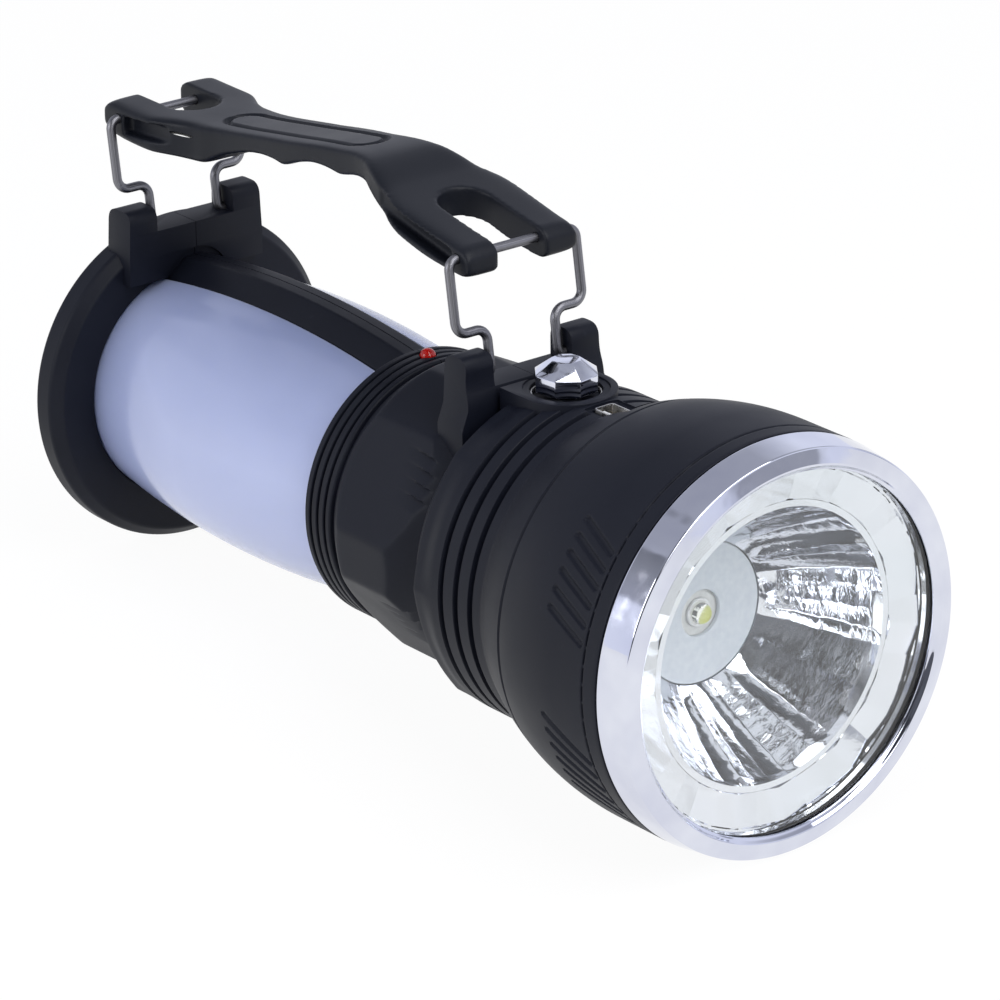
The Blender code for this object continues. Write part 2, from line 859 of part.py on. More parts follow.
def screw(name, head_radius, head_height, shank_radius, shank_length):
    """A cross-slot screw: its head lies behind x 0 and its shank runs along +X."""
    outline = [
        (-head_height, 0.0), (-head_height, head_radius), (0.0, head_radius), (0.0, shank_radius),
        (shank_length, shank_radius), (shank_length, 0.0),
    ]
    made = turned(name, outline, plated_steel(), screw_round)
    slots = []
    for a, b in ((head_radius / 2, screw_slot_width / 2), (screw_slot_width / 2, head_radius / 2)):
        low = (-head_height - overrun, -a, -b)
        high = (-head_height / 2, a, b)
        slots.append(block("slot", low, high, plated_steel()))
    return cut(made, *slots)


def housing_screws():
    for place, (x, z) in enumerate(housing_screw_places()):
        made = screw(
            f"housing_screw_{place + 1}", screw_head_radius, screw_head_height,
            screw_shank_radius, housing_screw_length,
        )
        made.location = (x, housing_screw_seat, z)
        made.rotation_euler = (0, 0, math.radians(-90))


def diffusers():
    """The two milky half shells of the lantern."""
    start = flange_depth - diffuser_tongue
    end = ring_start + diffuser_tongue
    edge = spine_half_width + clearance
    reach = flange_radius
    for name, side in (("diffuser_left", -1), ("diffuser_right", 1)):
        shell = barrel_shell(name, start, end, 0.0, -diffuser_wall, milky_plastic())
        ends = sorted((side * edge, side * reach))
        low = (0.0, ends[0], -reach)
        high = (neck_start, ends[1], reach)
        keep(shell, block("half", low, high, milky_plastic()))


def lantern_inside():
    """Battery tray, cells, contacts, charger board, white plates and their light strips."""
    grey = material("tray_plastic", "3A3B40", 0.6)
    tray = block(
        "battery_tray", (tray_start, -tray_half_width, -tray_half_height),
        (tray_end, tray_half_width, tray_half_height), grey,
    )
    floor = -tray_half_width + tray_wall
    contact_room = contact_spring_length + 2 * clearance + contact_thickness
    cell_bay_end = cell_start() + cell_length + contact_room
    height = tray_half_height - tray_wall
    cells = block(
        "bay", (tray_start + tray_end_wall, floor, -height),
        (cell_bay_end, tray_half_width + overrun, height), grey,
    )
    charge = block(
        "bay", (cell_bay_end + tray_end_wall, floor, -height),
        (tray_end - tray_end_wall, tray_half_width + overrun, height), grey,
    )
    wires = rod(
        "wires", (cell_bay_end - overrun, 0, 0), (tray_end + overrun, 0, 0), cell_cap_radius, grey,
    )
    cut(tray, cells, charge, wires)
    battery_cells()
    contacts(cell_bay_end, height)
    near = floor + clearance
    low = (cell_bay_end + tray_end_wall + clearance, near, -height + clearance)
    high = (tray_end - tray_end_wall - clearance, near + charger_thickness, height - clearance)
    block("charge_board", low, high, board_green())
    light_plates()


def cell_start():
    return tray_start + tray_end_wall + contact_thickness + 2 * clearance


def battery_cells():
    wrap = material("cell_wrap", "3C6FA8", 0.4)
    centre = cell_radius + clearance
    for name, z in (("battery_cell_upper", centre), ("battery_cell_lower", -centre)):
        can_end = cell_start() + cell_length - cell_cap_height
        outline = [
            (cell_start(), 0.0), (cell_start(), cell_radius), (can_end, cell_radius),
            (can_end, cell_cap_radius), (can_end + cell_cap_height, cell_cap_radius),
            (can_end + cell_cap_height, 0.0),
        ]
        made = turned(name, outline, wrap, small_round)
        made.location = (0.0, 0.0, z)


def contacts(bay_end, height):
    """A flat contact behind the cells and a sprung one ahead of them."""
    side = tray_half_width - tray_wall - clearance
    rear = tray_start + tray_end_wall + clearance
    block(
        "contact_rear", (rear, -side, -height + clearance),
        (rear + contact_thickness, side, height - clearance), plated_steel(),
    )
    front = bay_end - clearance - contact_thickness
    plate = block(
        "contact_front", (front, -side, -height + clearance),
        (front + contact_thickness, side, height - clearance), plated_steel(),
    )
    springs = []
    for z in (cell_radius, -cell_radius):
        tip = (front - contact_spring_length + clearance, 0, z)
        base = (front + contact_thickness / 2, 0, z)
        springs.append(rod(
            "spring", tip, base, contact_spring_radius / 2, plated_steel(),
            end_radius=contact_spring_radius,
        ))
    add(plate, *springs)


def light_plates():
    """White plates inside the diffusers, each with a strip of small lamps."""
    start = flange_depth + clearance
    end = ring_start - clearance
    for name, side in (("left", -1), ("right", 1)):
        near = side * (tray_half_width + clearance)
        far = near + side * light_plate_thickness
        ends = sorted((near, far))
        plate = block(
            f"light_plate_{name}", (start, ends[0], -flange_radius),
            (end, ends[1], flange_radius), white_plastic(),
        )
        inside = -max(diffuser_wall, frame_depth) - clearance
        room = barrel_shell("room", start, end, inside, -barrel_end_radius / 2, white_plastic())
        radius = barrel_end_radius * light_plate_core_share
        core = rod("core", (start, 0, 0), (end, 0, 0), radius, white_plastic(), big_round)
        keep(plate, add(room, core))
        lantern_board(name, side, far + side * clearance)


def lantern_board(name, side, near):
    start = barrel_start + lantern_board_margin
    end = ring_start - lantern_board_margin
    far = near + side * lantern_board_thickness
    ends = sorted((near, far))
    low = (start, ends[0], -lantern_board_half_height)
    high = (end, ends[1], lantern_board_half_height)
    board = block(f"lantern_board_{name}", low, high, white_plastic())
    lamps = []
    pitch = (end - start) / lantern_led_count
    for place in range(lantern_led_count):
        middle = start + pitch * (place + 0.5)
        top = far + side * lantern_led_height
        ends = sorted((far - side * lantern_board_thickness / 2, top))
        low = (middle - lantern_led_size / 2, ends[0], -lantern_led_size / 2)
        high = (middle + lantern_led_size / 2, ends[1], lantern_led_size / 2)
        lamps.append(block("lamp", low, high, white_plastic()))
    add(board, *lamps)


def head_outline():
    """The head shell's section: chamfered rear, three grooves, flared bell and front spigot."""
    points = [
        (head_start, neck_joint_radius), (head_start, head_rear_radius),
        (head_start + head_rear_taper, head_body_radius),
    ]
    for place in range(head_groove_count):
        start = head_start + head_groove_start + place * head_groove_pitch
        points += [
            (start, head_body_radius), (start, head_body_radius - head_groove_depth),
            (start + head_groove_width, head_body_radius - head_groove_depth),
            (start + head_groove_width, head_body_radius),
        ]
    for step in range(arc_steps + 1):
        x = bell_start + bell_length * step / arc_steps
        points.append((x, bell_radius(x)))
    seam = head_front - seam_inset
    points += [
        (seam, head_front_radius), (seam, head_front_radius - seam_depth),
        (seam + seam_width, head_front_radius - seam_depth), (seam + seam_width, head_front_radius),
        (head_front, head_front_radius), (head_front, spigot_radius),
        (spigot_front, spigot_radius), (spigot_front, spigot_inner),
    ]
    shoulder = head_front - spigot_wall
    points.append((shoulder, spigot_inner))
    for step in reversed(range(inner_arc_steps + 1)):
        x = bell_start + bell_length * step / inner_arc_steps
        points.append((x, min(bell_radius(x) - head_wall, spigot_inner)))
    points += [
        (bell_start - head_wall, head_inner_radius),
        (head_start + head_rear_wall, head_inner_radius),
        (head_start + head_rear_wall, neck_joint_radius),
    ]
    return points


def head_shell():
    """The head with its button platform, socket pocket, heat sink wall and board posts."""
    plastic = black_plastic()
    shell = turned("head_shell", head_outline(), plastic)
    outline = arc_points((button_x, 0.0), platform_radius, -90, 90, 2 * arc_steps)
    outline += [(head_start, platform_radius), (head_start, -platform_radius)]
    deck = prism("deck", outline, "Z", platform_root, platform_height, plastic)
    wall_outer = bell_radius(bulkhead_front - bulkhead_thickness) - head_wall / 2
    wall = turned("wall", [
        (bulkhead_front - bulkhead_thickness, bulkhead_hole_radius),
        (bulkhead_front - bulkhead_thickness, wall_outer), (bulkhead_front, wall_outer),
        (bulkhead_front, bulkhead_hole_radius),
    ], plastic)
    add(shell, deck, wall, *board_posts())
    cut(shell, *button_well(), *usb_pocket(), *board_screw_holes(), *heat_screw_holes())


def board_post_places():
    x = head_start + board_post_inset
    return [(x, -board_post_offset), (x, board_post_offset)]


def board_posts():
    posts = []
    for x, y in board_post_places():
        low = (x, y, board_top + clearance)
        high = (x, y, head_inner_radius)
        posts.append(rod("post", low, high, board_post_radius, black_plastic()))
    return posts


def board_screw_holes():
    holes = []
    for x, y in board_post_places():
        low = (x, y, board_top - overrun)
        high = (x, y, board_top + board_screw_length)
        holes.append(rod("hole", low, high, board_screw_radius + clearance, black_plastic()))
    return holes


def button_well():
    """The recess that seats the ring, and the bore that guides the stem."""
    radius = button_radius + button_ring_wall + 2 * clearance
    floor = (button_x, 0, platform_height - button_recess_depth)
    over = (button_x, 0, platform_height + overrun)
    under = (button_x, 0, board_top)
    return [
        rod("well", floor, over, radius, black_plastic(), middle_round),
        rod("guide", under, over, button_stem_radius + clearance, black_plastic()),
    ]


def usb_pocket():
    """A pocket open to the top, and the slot that lets the socket through."""
    long_half = usb_length / 2
    half = usb_width / 2
    low = (usb_x - long_half - usb_pocket_margin / 2, -half - usb_pocket_margin, usb_pocket_floor)
    high = (usb_x + long_half + usb_pocket_margin, half + usb_pocket_margin, head_front_radius)
    slot_low = (usb_x - long_half - clearance, -half - clearance, board_top)
    slot_high = (usb_x + long_half + clearance, half + clearance, head_front_radius)
    return [
        block("pocket", low, high, black_plastic()),
        block("slot", slot_low, slot_high, black_plastic()),
    ]


def heat_screw_places():
    turns = [90 + 360 * place / heat_screw_count for place in range(heat_screw_count)]
    return [polar(heat_screw_circle, turn) for turn in turns]


def heat_screw_holes():
    start = bulkhead_front - bulkhead_thickness - overrun
    holes = []
    for y, z in heat_screw_places():
        end = (bulkhead_front + overrun, y, z)
        radius = board_screw_radius + clearance
        holes.append(rod("hole", (start, y, z), end, radius, black_plastic()))
    return holes


def control_board():
    """The board under the button and the socket, with the switch and its screws."""
    low = (head_start + board_rear_inset, -board_half_width, board_top - board_thickness)
    high = (head_start + board_front_inset, board_half_width, board_top)
    board = block("control_board", low, high, board_green())
    holes = []
    for x, y in board_post_places():
        start = (x, y, board_top - board_thickness - overrun)
        end = (x, y, board_top + overrun)
        holes.append(rod("hole", start, end, board_screw_radius + clearance, board_green()))
    cut(board, *holes)
    for place, (x, y) in enumerate(board_post_places()):
        made = screw(
            f"board_screw_{place + 1}", small_screw_head_radius, small_screw_head_height,
            board_screw_radius, board_screw_length,
        )
        made.location = (x, y, board_top - board_thickness - clearance)
        made.rotation_euler = (0, math.radians(-90), 0)


def switch_top():
    return board_top + clearance + switch_height


def tact_switch():
    """The switch on the board, with a plunger that rides under the button's stem."""
    half = switch_size / 2
    low = (button_x - half, -half, board_top + clearance)
    high = (button_x + half, half, switch_top())
    body = block("tact_switch", low, high, soft_rubber())
    floor = switch_top() - plunger_depth - button_travel - clearance
    bore = rod(
        "bore", (button_x, 0, floor), (button_x, 0, switch_top() + overrun),
        plunger_radius + clearance, soft_rubber(),
    )
    cut(body, bore)
    rod(
        "switch_plunger", (button_x, 0, switch_top() - plunger_depth),
        (button_x, 0, switch_top() + plunger_rise), plunger_radius, white_plastic(),
    )


def button():
    """The faceted chrome button, its stem and the ring round its foot."""
    foot = platform_height - button_recess_depth + button_travel + 2 * clearance
    side_top = platform_height + button_lift + button_side_height
    rings = []
    levels = (
        (foot, button_radius, 0.0), (side_top - button_side_height, button_radius, 0.0),
        (side_top, button_radius, 0.0), (side_top + button_crown_height, button_crown_radius, 0.5),
    )
    for height, radius, shift in levels:
        ring = []
        for place in range(button_facets):
            turn = math.tau * (place + shift) / button_facets
            ring.append((button_x + radius * math.cos(turn), radius * math.sin(turn), height))
        rings.append(ring)
    cap = loft("button_cap", rings, bright_chrome())
    stem_low = (button_x, 0, switch_top() + plunger_rise + clearance)
    stem = rod("stem", stem_low, (button_x, 0, side_top), button_stem_radius, bright_chrome())
    add(cap, stem)
    inner = button_radius + clearance
    outer = inner + button_ring_wall
    low = platform_height - button_recess_depth + clearance
    high = platform_height + button_ring_rise
    foot_point = (button_x, 0, low)
    over = (button_x, 0, high + overrun)
    under = (button_x, 0, low - overrun)
    ring = rod("button_ring", foot_point, (button_x, 0, high), outer, bright_chrome(), middle_round)
    cut(ring, rod("hole", under, over, inner, bright_chrome(), middle_round))


def usb_socket():
    """The socket's metal shell and its plastic tongue."""
    long_half = usb_length / 2
    half = usb_width / 2
    low = board_top + clearance
    shell = block(
        "usb_shell", (usb_x - long_half, -half, low), (usb_x + long_half, half, usb_mouth_height),
        plated_steel(),
    )
    inner_long = long_half - usb_wall
    inner_half = half - usb_wall
    room = block(
        "room", (usb_x - inner_long, -inner_half, low + usb_wall),
        (usb_x + inner_long, inner_half, usb_mouth_height + overrun), plated_steel(),
    )
    cut(shell, room)
    base_low = low + usb_wall + clearance
    base = block(
        "usb_tongue", (usb_x - inner_long + clearance, -inner_half + clearance, base_low),
        (usb_x + inner_long - clearance, inner_half - clearance, base_low + usb_tongue_base),
        white_plastic(),
    )
    near = -inner_half + clearance
    tongue_top = usb_mouth_height - usb_tongue_inset
    tongue = block(
        "tongue", (usb_x - usb_tongue_length / 2, near, base_low + usb_tongue_base / 2),
        (usb_x + usb_tongue_length / 2, near + usb_tongue_thickness, tongue_top), white_plastic(),
    )
    add(base, tongue)


def bowl_point(share, offset=0.0):
    """A point on the reflector's parabola, with share 0 at its floor and 1 at its rim."""
    low = bowl_floor_radius ** 2
    high = bowl_radius ** 2
    return (bowl_back + bowl_depth * share, math.sqrt(low + (high - low) * share) + offset)


def reflector():
    """The mirrored bowl with its facet ring and seating flange."""
    rim = spigot_radius - clearance
    steps = range(bowl_steps + 1)
    front = [bowl_point(step / bowl_steps) for step in steps]
    front += [
        (bowl_front, facet_inner_radius), (bowl_front + facet_depth, facet_outer_radius),
        (reflector_front, facet_outer_radius + reflector_flange), (reflector_front, rim),
    ]
    back = [
        (reflector_back, rim), (reflector_back, spigot_inner - clearance),
        (bowl_front - reflector_wall, facet_inner_radius + reflector_wall),
    ]
    back += [bowl_point(step / bowl_steps * bowl_back_share, reflector_wall) for step in reversed(steps)]
    heel = heat_sink_front + clearance
    back += [(heel, bowl_floor_radius + reflector_wall), (heel, bowl_floor_radius)]
    turned("reflector", front + back, mirror_coat())


def lamp_parts():
    """The pale disc, the lamp board, its emitter and the heat sink behind them."""
    disc_radius = bowl_floor_radius - clearance
    turned("led_disc", [
        (disc_back, led_hole_radius), (disc_back, disc_radius),
        (bowl_back, disc_radius), (bowl_back, led_hole_radius),
    ], white_plastic(), middle_round)
    turned("led_board", [
        (led_board_back, 0.0), (led_board_back, led_board_radius),
        (led_board_front, led_board_radius), (led_board_front, 0.0),
    ], bare_aluminium(), middle_round)
    base = led_board_front + clearance
    top = base + emitter_base
    outline = [(base, 0.0), (base, emitter_radius), (top, emitter_radius)]
    outline += arc_points((top, 0.0), emitter_dome_radius, 90, 0, arc_steps)[:-1]
    outline.append((top + emitter_dome_radius, 0.0))
    turned("led_emitter", outline, clear_plastic(), small_round)
    heat_sink()


def heat_sink():
    """A turned aluminium core with a screwed flange and round fins."""
    flange_front = heat_sink_back + heat_sink_flange
    tail_back = heat_sink_back - bulkhead_thickness - heat_sink_tail
    tail_radius = bulkhead_hole_radius - clearance
    outline = [
        (tail_back, 0.0), (tail_back, tail_radius), (heat_sink_back, tail_radius),
        (heat_sink_back, heat_sink_flange_radius), (flange_front, heat_sink_flange_radius),
        (flange_front, heat_sink_radius),
    ]
    room = heat_sink_front - flange_front
    pitch = room / (heat_sink_fin_count + 1)
    for place in range(heat_sink_fin_count):
        start = flange_front + pitch * (place + 1) - heat_sink_fin_gap / 2
        outline += [
            (start, heat_sink_radius), (start, heat_sink_radius - heat_sink_fin_depth),
            (start + heat_sink_fin_gap, heat_sink_radius - heat_sink_fin_depth),
            (start + heat_sink_fin_gap, heat_sink_radius),
        ]
    outline += [(heat_sink_front, heat_sink_radius), (heat_sink_front, 0.0)]
    sink = turned("heat_sink", outline, bare_aluminium(), middle_round)
    holes = []
    for y, z in heat_screw_places():
        start = (heat_sink_back - overrun, y, z)
        end = (flange_front + overrun, y, z)
        holes.append(rod("hole", start, end, board_screw_radius + clearance, bare_aluminium()))
    cut(sink, *holes)
    for place, (y, z) in enumerate(heat_screw_places()):
        made = screw(
            f"heat_sink_screw_{place + 1}", small_screw_head_radius, small_screw_head_height,
            board_screw_radius, heat_screw_length,
        )
        made.location = (flange_front + clearance, y, z)
        made.rotation_euler = (0, 0, math.radians(180))


def front_parts():
    """Gasket, lens and chrome bezel, stacked on the reflector's flange."""
    seat = spigot_radius - clearance
    gasket_inner = seat - gasket_width
    turned("lens_gasket", [
        (gasket_start, gasket_inner), (gasket_start, seat),
        (gasket_start + gasket_thickness, seat), (gasket_start + gasket_thickness, gasket_inner),
    ], soft_rubber())
    turned("lens", [
        (lens_start, 0.0), (lens_start, seat), (lens_start + lens_thickness, seat),
        (lens_start + lens_thickness, 0.0),
    ], clear_plastic())
    inner = spigot_radius + clearance
    lip_inner = lip_back + bezel_lip_thickness
    outline = [
        (bezel_start, inner), (bezel_start, head_front_radius),
    ]
    corner = (bezel_front - bezel_round, bezel_front_radius - bezel_round)
    outline += [
        (corner[0] + a, corner[1] + b) for a, b in arc_points((0.0, 0.0), bezel_round, 80, 0, corner_steps)
    ]
    outline += [
        (bezel_front, bezel_lip_radius + 2 * bezel_round),
        (lip_inner, bezel_lip_radius), (lip_back, bezel_lip_radius), (lip_back, inner),
    ]
    turned("bezel", outline, bright_chrome())


def rounded_path(corners, bends):
    """A polyline whose inner corners are swapped for arcs of the given radii."""
    points = [Vector(corners[0])]
    for before, here, after, bend in zip(corners, corners[1:], corners[2:], bends):
        here = Vector(here)
        back = (Vector(before) - here).normalized()
        on = (Vector(after) - here).normalized()
        half = back.angle(on) / 2
        middle = here + (back + on).normalized() * (bend / math.sin(half))
        start = here + back * (bend / math.tan(half)) - middle
        end = here + on * (bend / math.tan(half)) - middle
        for step in range(wire_path_steps + 1):
            points.append(middle + start.slerp(end, step / wire_path_steps) * bend)
    points.append(Vector(corners[-1]))
    return points


def bail(name, pivot_x):
    """A bent wire loop, hinged in the bracket's ears, that crosses through the handle's prongs."""
    side = [
        (bail_foot + bail_pin_reach, 0.0), (bail_foot, 0.0), (bail_foot, bail_jog),
        (bail_half_width, bail_jog), (bail_half_width, bail_length),
    ]
    corners = [(0.0, -y, z) for y, z in side] + [(0.0, y, z) for y, z in reversed(side)]
    bends = [bail_foot_bend] + [bail_bend] * 6 + [bail_foot_bend]
    path = rounded_path(corners, bends)
    curve = bpy.data.curves.new(name, "CURVE")
    curve.dimensions = "3D"
    curve.bevel_depth = wire_radius
    curve.bevel_resolution = 2
    curve.use_fill_caps = True
    line = curve.splines.new("POLY")
    line.points.add(len(path) - 1)
    for spot, point in zip(line.points, path):
        spot.co = (*point, 1.0)
    curve.materials.append(steel_wire())
    made = bpy.data.objects.new(name, curve)
    bpy.context.scene.collection.objects.link(made)
    made.location = (pivot_x, 0.0, pivot_height)
    made.rotation_euler = (0.0, -lean, 0.0)


def smooth_share(shares, place):
    """Read a table of shares at a place, with smooth slopes between its rows."""
    rows = [shares[0], *shares, shares[-1]]
    for before, low, high, after in zip(rows, rows[1:], rows[2:], rows[3:]):
        if place <= high[0] or high is rows[-1]:
            span = high[0] - low[0]
            if span <= 0:
                return high[1]
            along = min(max((place - low[0]) / span, 0.0), 1.0)
            slope_low = (high[1] - before[1]) / (high[0] - before[0]) * span
            slope_high = (after[1] - low[1]) / (after[0] - low[0]) * span
            square = along * along
            cube = square * along
            return (
                low[1] * (2 * cube - 3 * square + 1) + slope_low * (cube - 2 * square + along)
                + high[1] * (3 * square - 2 * cube) + slope_high * (cube - square)
            )
    return rows[-1][1]


def handle_length():
    return pivot_spacing + 2 * handle_reach


def handle_section(place):
    """The handle's top, underside and half width at a place from 0 at its rear to 1 at its front."""
    top = wire_height + handle_top_over_wire + handle_height * smooth_share(handle_top_shares, place)
    thickness = handle_thickness * smooth_share(handle_thickness_shares, place)
    first, last = finger_wave_shares
    if first < place < last:
        turn = (place - first) / (last - first)
        thickness += finger_wave_depth * (1 - math.cos(math.tau * finger_wave_count * turn)) / 2
    distance = min(place, 1 - place) * handle_length()
    inset = max(handle_end_round - distance, 0.0) / handle_end_round
    squeeze = thickness * (1 - math.sqrt(1 - (handle_end_squeeze_share * inset) ** 2)) / 2
    half = handle_half_width * smooth_share(handle_width_shares, place)
    return top - squeeze, top - thickness + squeeze, half


def handle_ring(place):
    """One rounded cross-section of the handle."""
    top, under, half = handle_section(place)
    x = wire_rear_x - handle_reach + handle_length() * place
    corner = min(handle_corner, (top - under) * handle_corner_share)
    centres = (
        (half - corner, top - corner, 0), (corner - half, top - corner, 90),
        (corner - half, under + corner, 180), (half - corner, under + corner, 270),
    )
    points = []
    for y, z, first in centres:
        points += arc_points((y, z), corner, first, first + 90, corner_steps)
    return [(x, y, z) for y, z in points]


def handle_places():
    """Stations along the handle, closer together where its ends round off."""
    round_share = handle_end_round / handle_length()
    near = [round_share * step / arc_steps for step in range(arc_steps)]
    middle_share = 1 - 2 * round_share
    steps = range(handle_stations + 1)
    between = [round_share + middle_share * step / handle_stations for step in steps]
    return near + between + [1 - place for place in reversed(near)]


def fork_slot(wire_x, way, depth):
    """The round-ended slot between two prongs."""
    outer = wire_x - way * (handle_reach + overrun)
    centre = wire_x - way * handle_reach + way * (depth - fork_half_width)
    facing = 0 if way > 0 else 180
    outline = arc_points((centre, 0.0), fork_half_width, facing - 90, facing + 90, arc_steps)
    outline += [(outer, way * fork_half_width), (outer, -way * fork_half_width)]
    top = wire_height + handle_height * 2
    return prism("fork", outline, "Z", pivot_height, top, handle_plastic())


def side_channel(wire_x, way, side):
    """A shallow recess along a prong's outer face."""
    low = (channel_start, -channel_depth, -channel_height / 2)
    high = (channel_start + channel_length, overrun, channel_height / 2)
    channel = block("channel", low, high, handle_plastic())
    near_place = (wire_x + way * channel_start - wire_rear_x + handle_reach) / handle_length()
    far_place = near_place + way * channel_length / handle_length()
    heights = []
    for place in (near_place, far_place):
        top, under, half = handle_section(place)
        heights.append((top + under) / 2)
    pitch = math.atan2(heights[1] - heights[0], channel_length)
    turn = Matrix.Rotation(-pitch, 4, "Y")
    flip = Matrix.Diagonal((way, side, 1, 1))
    spot = Matrix.Translation((wire_x, side * handle_half_width, heights[0]))
    channel.data.transform(spot @ flip @ turn)
    if way * side < 0:
        channel.data.flip_normals()
    return channel


def handle():
    """The moulded grip: two forks, a narrow waist and finger waves under it."""
    rings = [handle_ring(place) for place in handle_places()]
    grip = loft("handle", rings, handle_plastic())
    tools = [
        fork_slot(wire_rear_x, 1, rear_fork_depth), fork_slot(wire_front_x, -1, front_fork_depth),
    ]
    for x in (wire_rear_x, wire_front_x):
        start = (x, -handle_half_width - overrun, wire_height)
        end = (x, handle_half_width + overrun, wire_height)
        tools.append(rod("bore", start, end, hole_radius, handle_plastic()))
    for x, way in ((wire_rear_x, 1), (wire_front_x, -1)):
        for side in (1, -1):
            tools.append(side_channel(x, way, side))
    cut(grip, *tools)
    set_origin(grip, Vector((wire_rear_x, 0.0, wire_height)))


def set_origin(item, point):
    """Move an object's origin without moving its mesh."""
    item.data.transform(Matrix.Translation(-point))
    item.location = point


def build():
    clear_scene()
    housing()
    indicator()
    cover()
    housing_screws()
    diffusers()
    lantern_inside()
    head_shell()
    control_board()
    tact_switch()
    button()
    usb_socket()
    reflector()
    lamp_parts()
    front_parts()
    bail("rear_bail", pivot_rear_x)
    bail("front_bail", pivot_front_x)
    handle()


build()
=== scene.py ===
# %% [markdown]
# # A rechargeable spotlight
#
# The lamp lies on its side. Its long axis is X, from the base at x = 0 to the chrome bezel at the
# front. The carry handle is up, on +Z, and the side that the camera sees best is on -Y.
# The solid model is loaded as a fixed frame. This lesson dresses it: it makes finer surfaces for
# what shows, and finishes for everything.

# %% Load the fixed frame
import math

import bmesh
import bpy
import numpy as np
from mathutils import Matrix, Vector


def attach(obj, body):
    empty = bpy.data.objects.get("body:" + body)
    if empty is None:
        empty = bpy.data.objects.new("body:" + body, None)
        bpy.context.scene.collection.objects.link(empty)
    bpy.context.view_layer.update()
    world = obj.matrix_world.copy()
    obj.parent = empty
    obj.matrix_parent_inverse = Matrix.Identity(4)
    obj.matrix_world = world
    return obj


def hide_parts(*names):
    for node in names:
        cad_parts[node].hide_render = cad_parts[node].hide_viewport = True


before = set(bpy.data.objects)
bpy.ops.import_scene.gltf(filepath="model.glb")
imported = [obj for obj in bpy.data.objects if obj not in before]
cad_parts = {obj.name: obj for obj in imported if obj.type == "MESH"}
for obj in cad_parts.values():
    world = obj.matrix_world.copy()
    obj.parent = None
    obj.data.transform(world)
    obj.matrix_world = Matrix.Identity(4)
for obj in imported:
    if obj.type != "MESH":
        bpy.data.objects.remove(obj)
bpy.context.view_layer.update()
mm = 0.001
# In millimetres: the hinges of both bails, and the middles of the button and the socket.
rear_pivot, front_pivot, pivot_z = 7.0, 142.0, 42.5
button_x, socket_x = 157.2, 177.0

# %% [markdown]
# ## Nets of points
#
# Most parts of a lamp are round. A round part can be made by spinning an outline with a tool, but
# then grooves, notches and facets have to be cut in afterwards. Here a part is a net of points
# instead: the rows follow its outline and the columns go round the X axis. The radius may then
# differ at every point of the net, so facets and notches come out of the same sum.

# %% A net's faces and its place on a picture map
def net_faces(rows, columns, ring_rows, ring_columns):
    """Four-sided faces between neighbouring points; a ring joins its last row or column to its
    first."""
    i = np.arange(rows if ring_rows else rows - 1)
    j = np.arange(columns if ring_columns else columns - 1)
    i, j = np.meshgrid(i, j, indexing="ij")
    below, beside = (i + 1) % rows, (j + 1) % columns
    corners = [i * columns + j, i * columns + beside, below * columns + beside, below * columns + j]
    shares = [(j / columns, i / rows), ((j + 1) / columns, i / rows),
              ((j + 1) / columns, (i + 1) / rows), (j / columns, (i + 1) / rows)]
    flat = np.stack([np.stack(pair, axis=-1) for pair in shares], axis=2)
    return np.stack(corners, axis=-1).reshape(-1, 4).tolist(), flat.reshape(-1, 2)


def shaded(mesh, sharp=30.0):
    """Smooth shading, except over edges steeper than an angle."""
    mesh.shade_smooth()
    mesh.set_sharp_from_angle(angle=math.radians(sharp))
    return mesh


def closed_mesh(name, points, faces, flat=None, sharp=30.0):
    """Merge what meets, turn the faces outwards, and shade."""
    mesh = bpy.data.meshes.new(name)
    mesh.from_pydata(points.reshape(-1, 3) * mm, [], faces)
    if flat is not None:
        layer = mesh.uv_layers.new(name="Net")
        values = np.zeros((len(mesh.loops), 2))
        values[:len(flat)] = flat
        layer.data.foreach_set("uv", values.ravel())
    bm = bmesh.new()
    bm.from_mesh(mesh)
    bmesh.ops.remove_doubles(bm, verts=bm.verts, dist=0.002 * mm)
    bmesh.ops.recalc_face_normals(bm, faces=bm.faces)
    bm.to_mesh(mesh)
    bm.free()
    return shaded(mesh, sharp)


def net_mesh(name, points, sharp=30.0):
    """A net whose rows follow a closed outline and whose columns go all the way round."""
    faces, flat = net_faces(*points.shape[:2], True, True)
    return closed_mesh(name, points, faces, flat, sharp)


def capped_mesh(name, points, sharp=30.0, mapped=False):
    """A net that is open at its first and last rows, which get one face each."""
    rows, columns = points.shape[:2]
    faces, flat = net_faces(rows, columns, False, True)
    ends = [list(range(columns)), list(range((rows - 1) * columns, rows * columns))]
    return closed_mesh(name, points, faces + ends, flat if mapped else None, sharp)


def linked(name, data):
    """A new object in the scene, at the origin."""
    made = bpy.data.objects.new(name, data)
    bpy.context.scene.collection.objects.link(made)
    return made


def piece(name, mesh, surface, body, *nodes):
    """A finished piece on its body, in place of the solids that it stands for."""
    made = linked(name, mesh)
    mesh.materials.clear()
    mesh.materials.append(surface)
    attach(made, body)
    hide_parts(*nodes)
    print(f"{name}: {len(mesh.polygons)} faces")


# %% [markdown]
# ## Outlines with soft corners
#
# No moulded or turned edge is perfectly sharp, and it is the soft edge that catches the light.
# A Bevel modifier can round edges later. Where the outline is known, it is simpler to round its
# corners before it is turned.

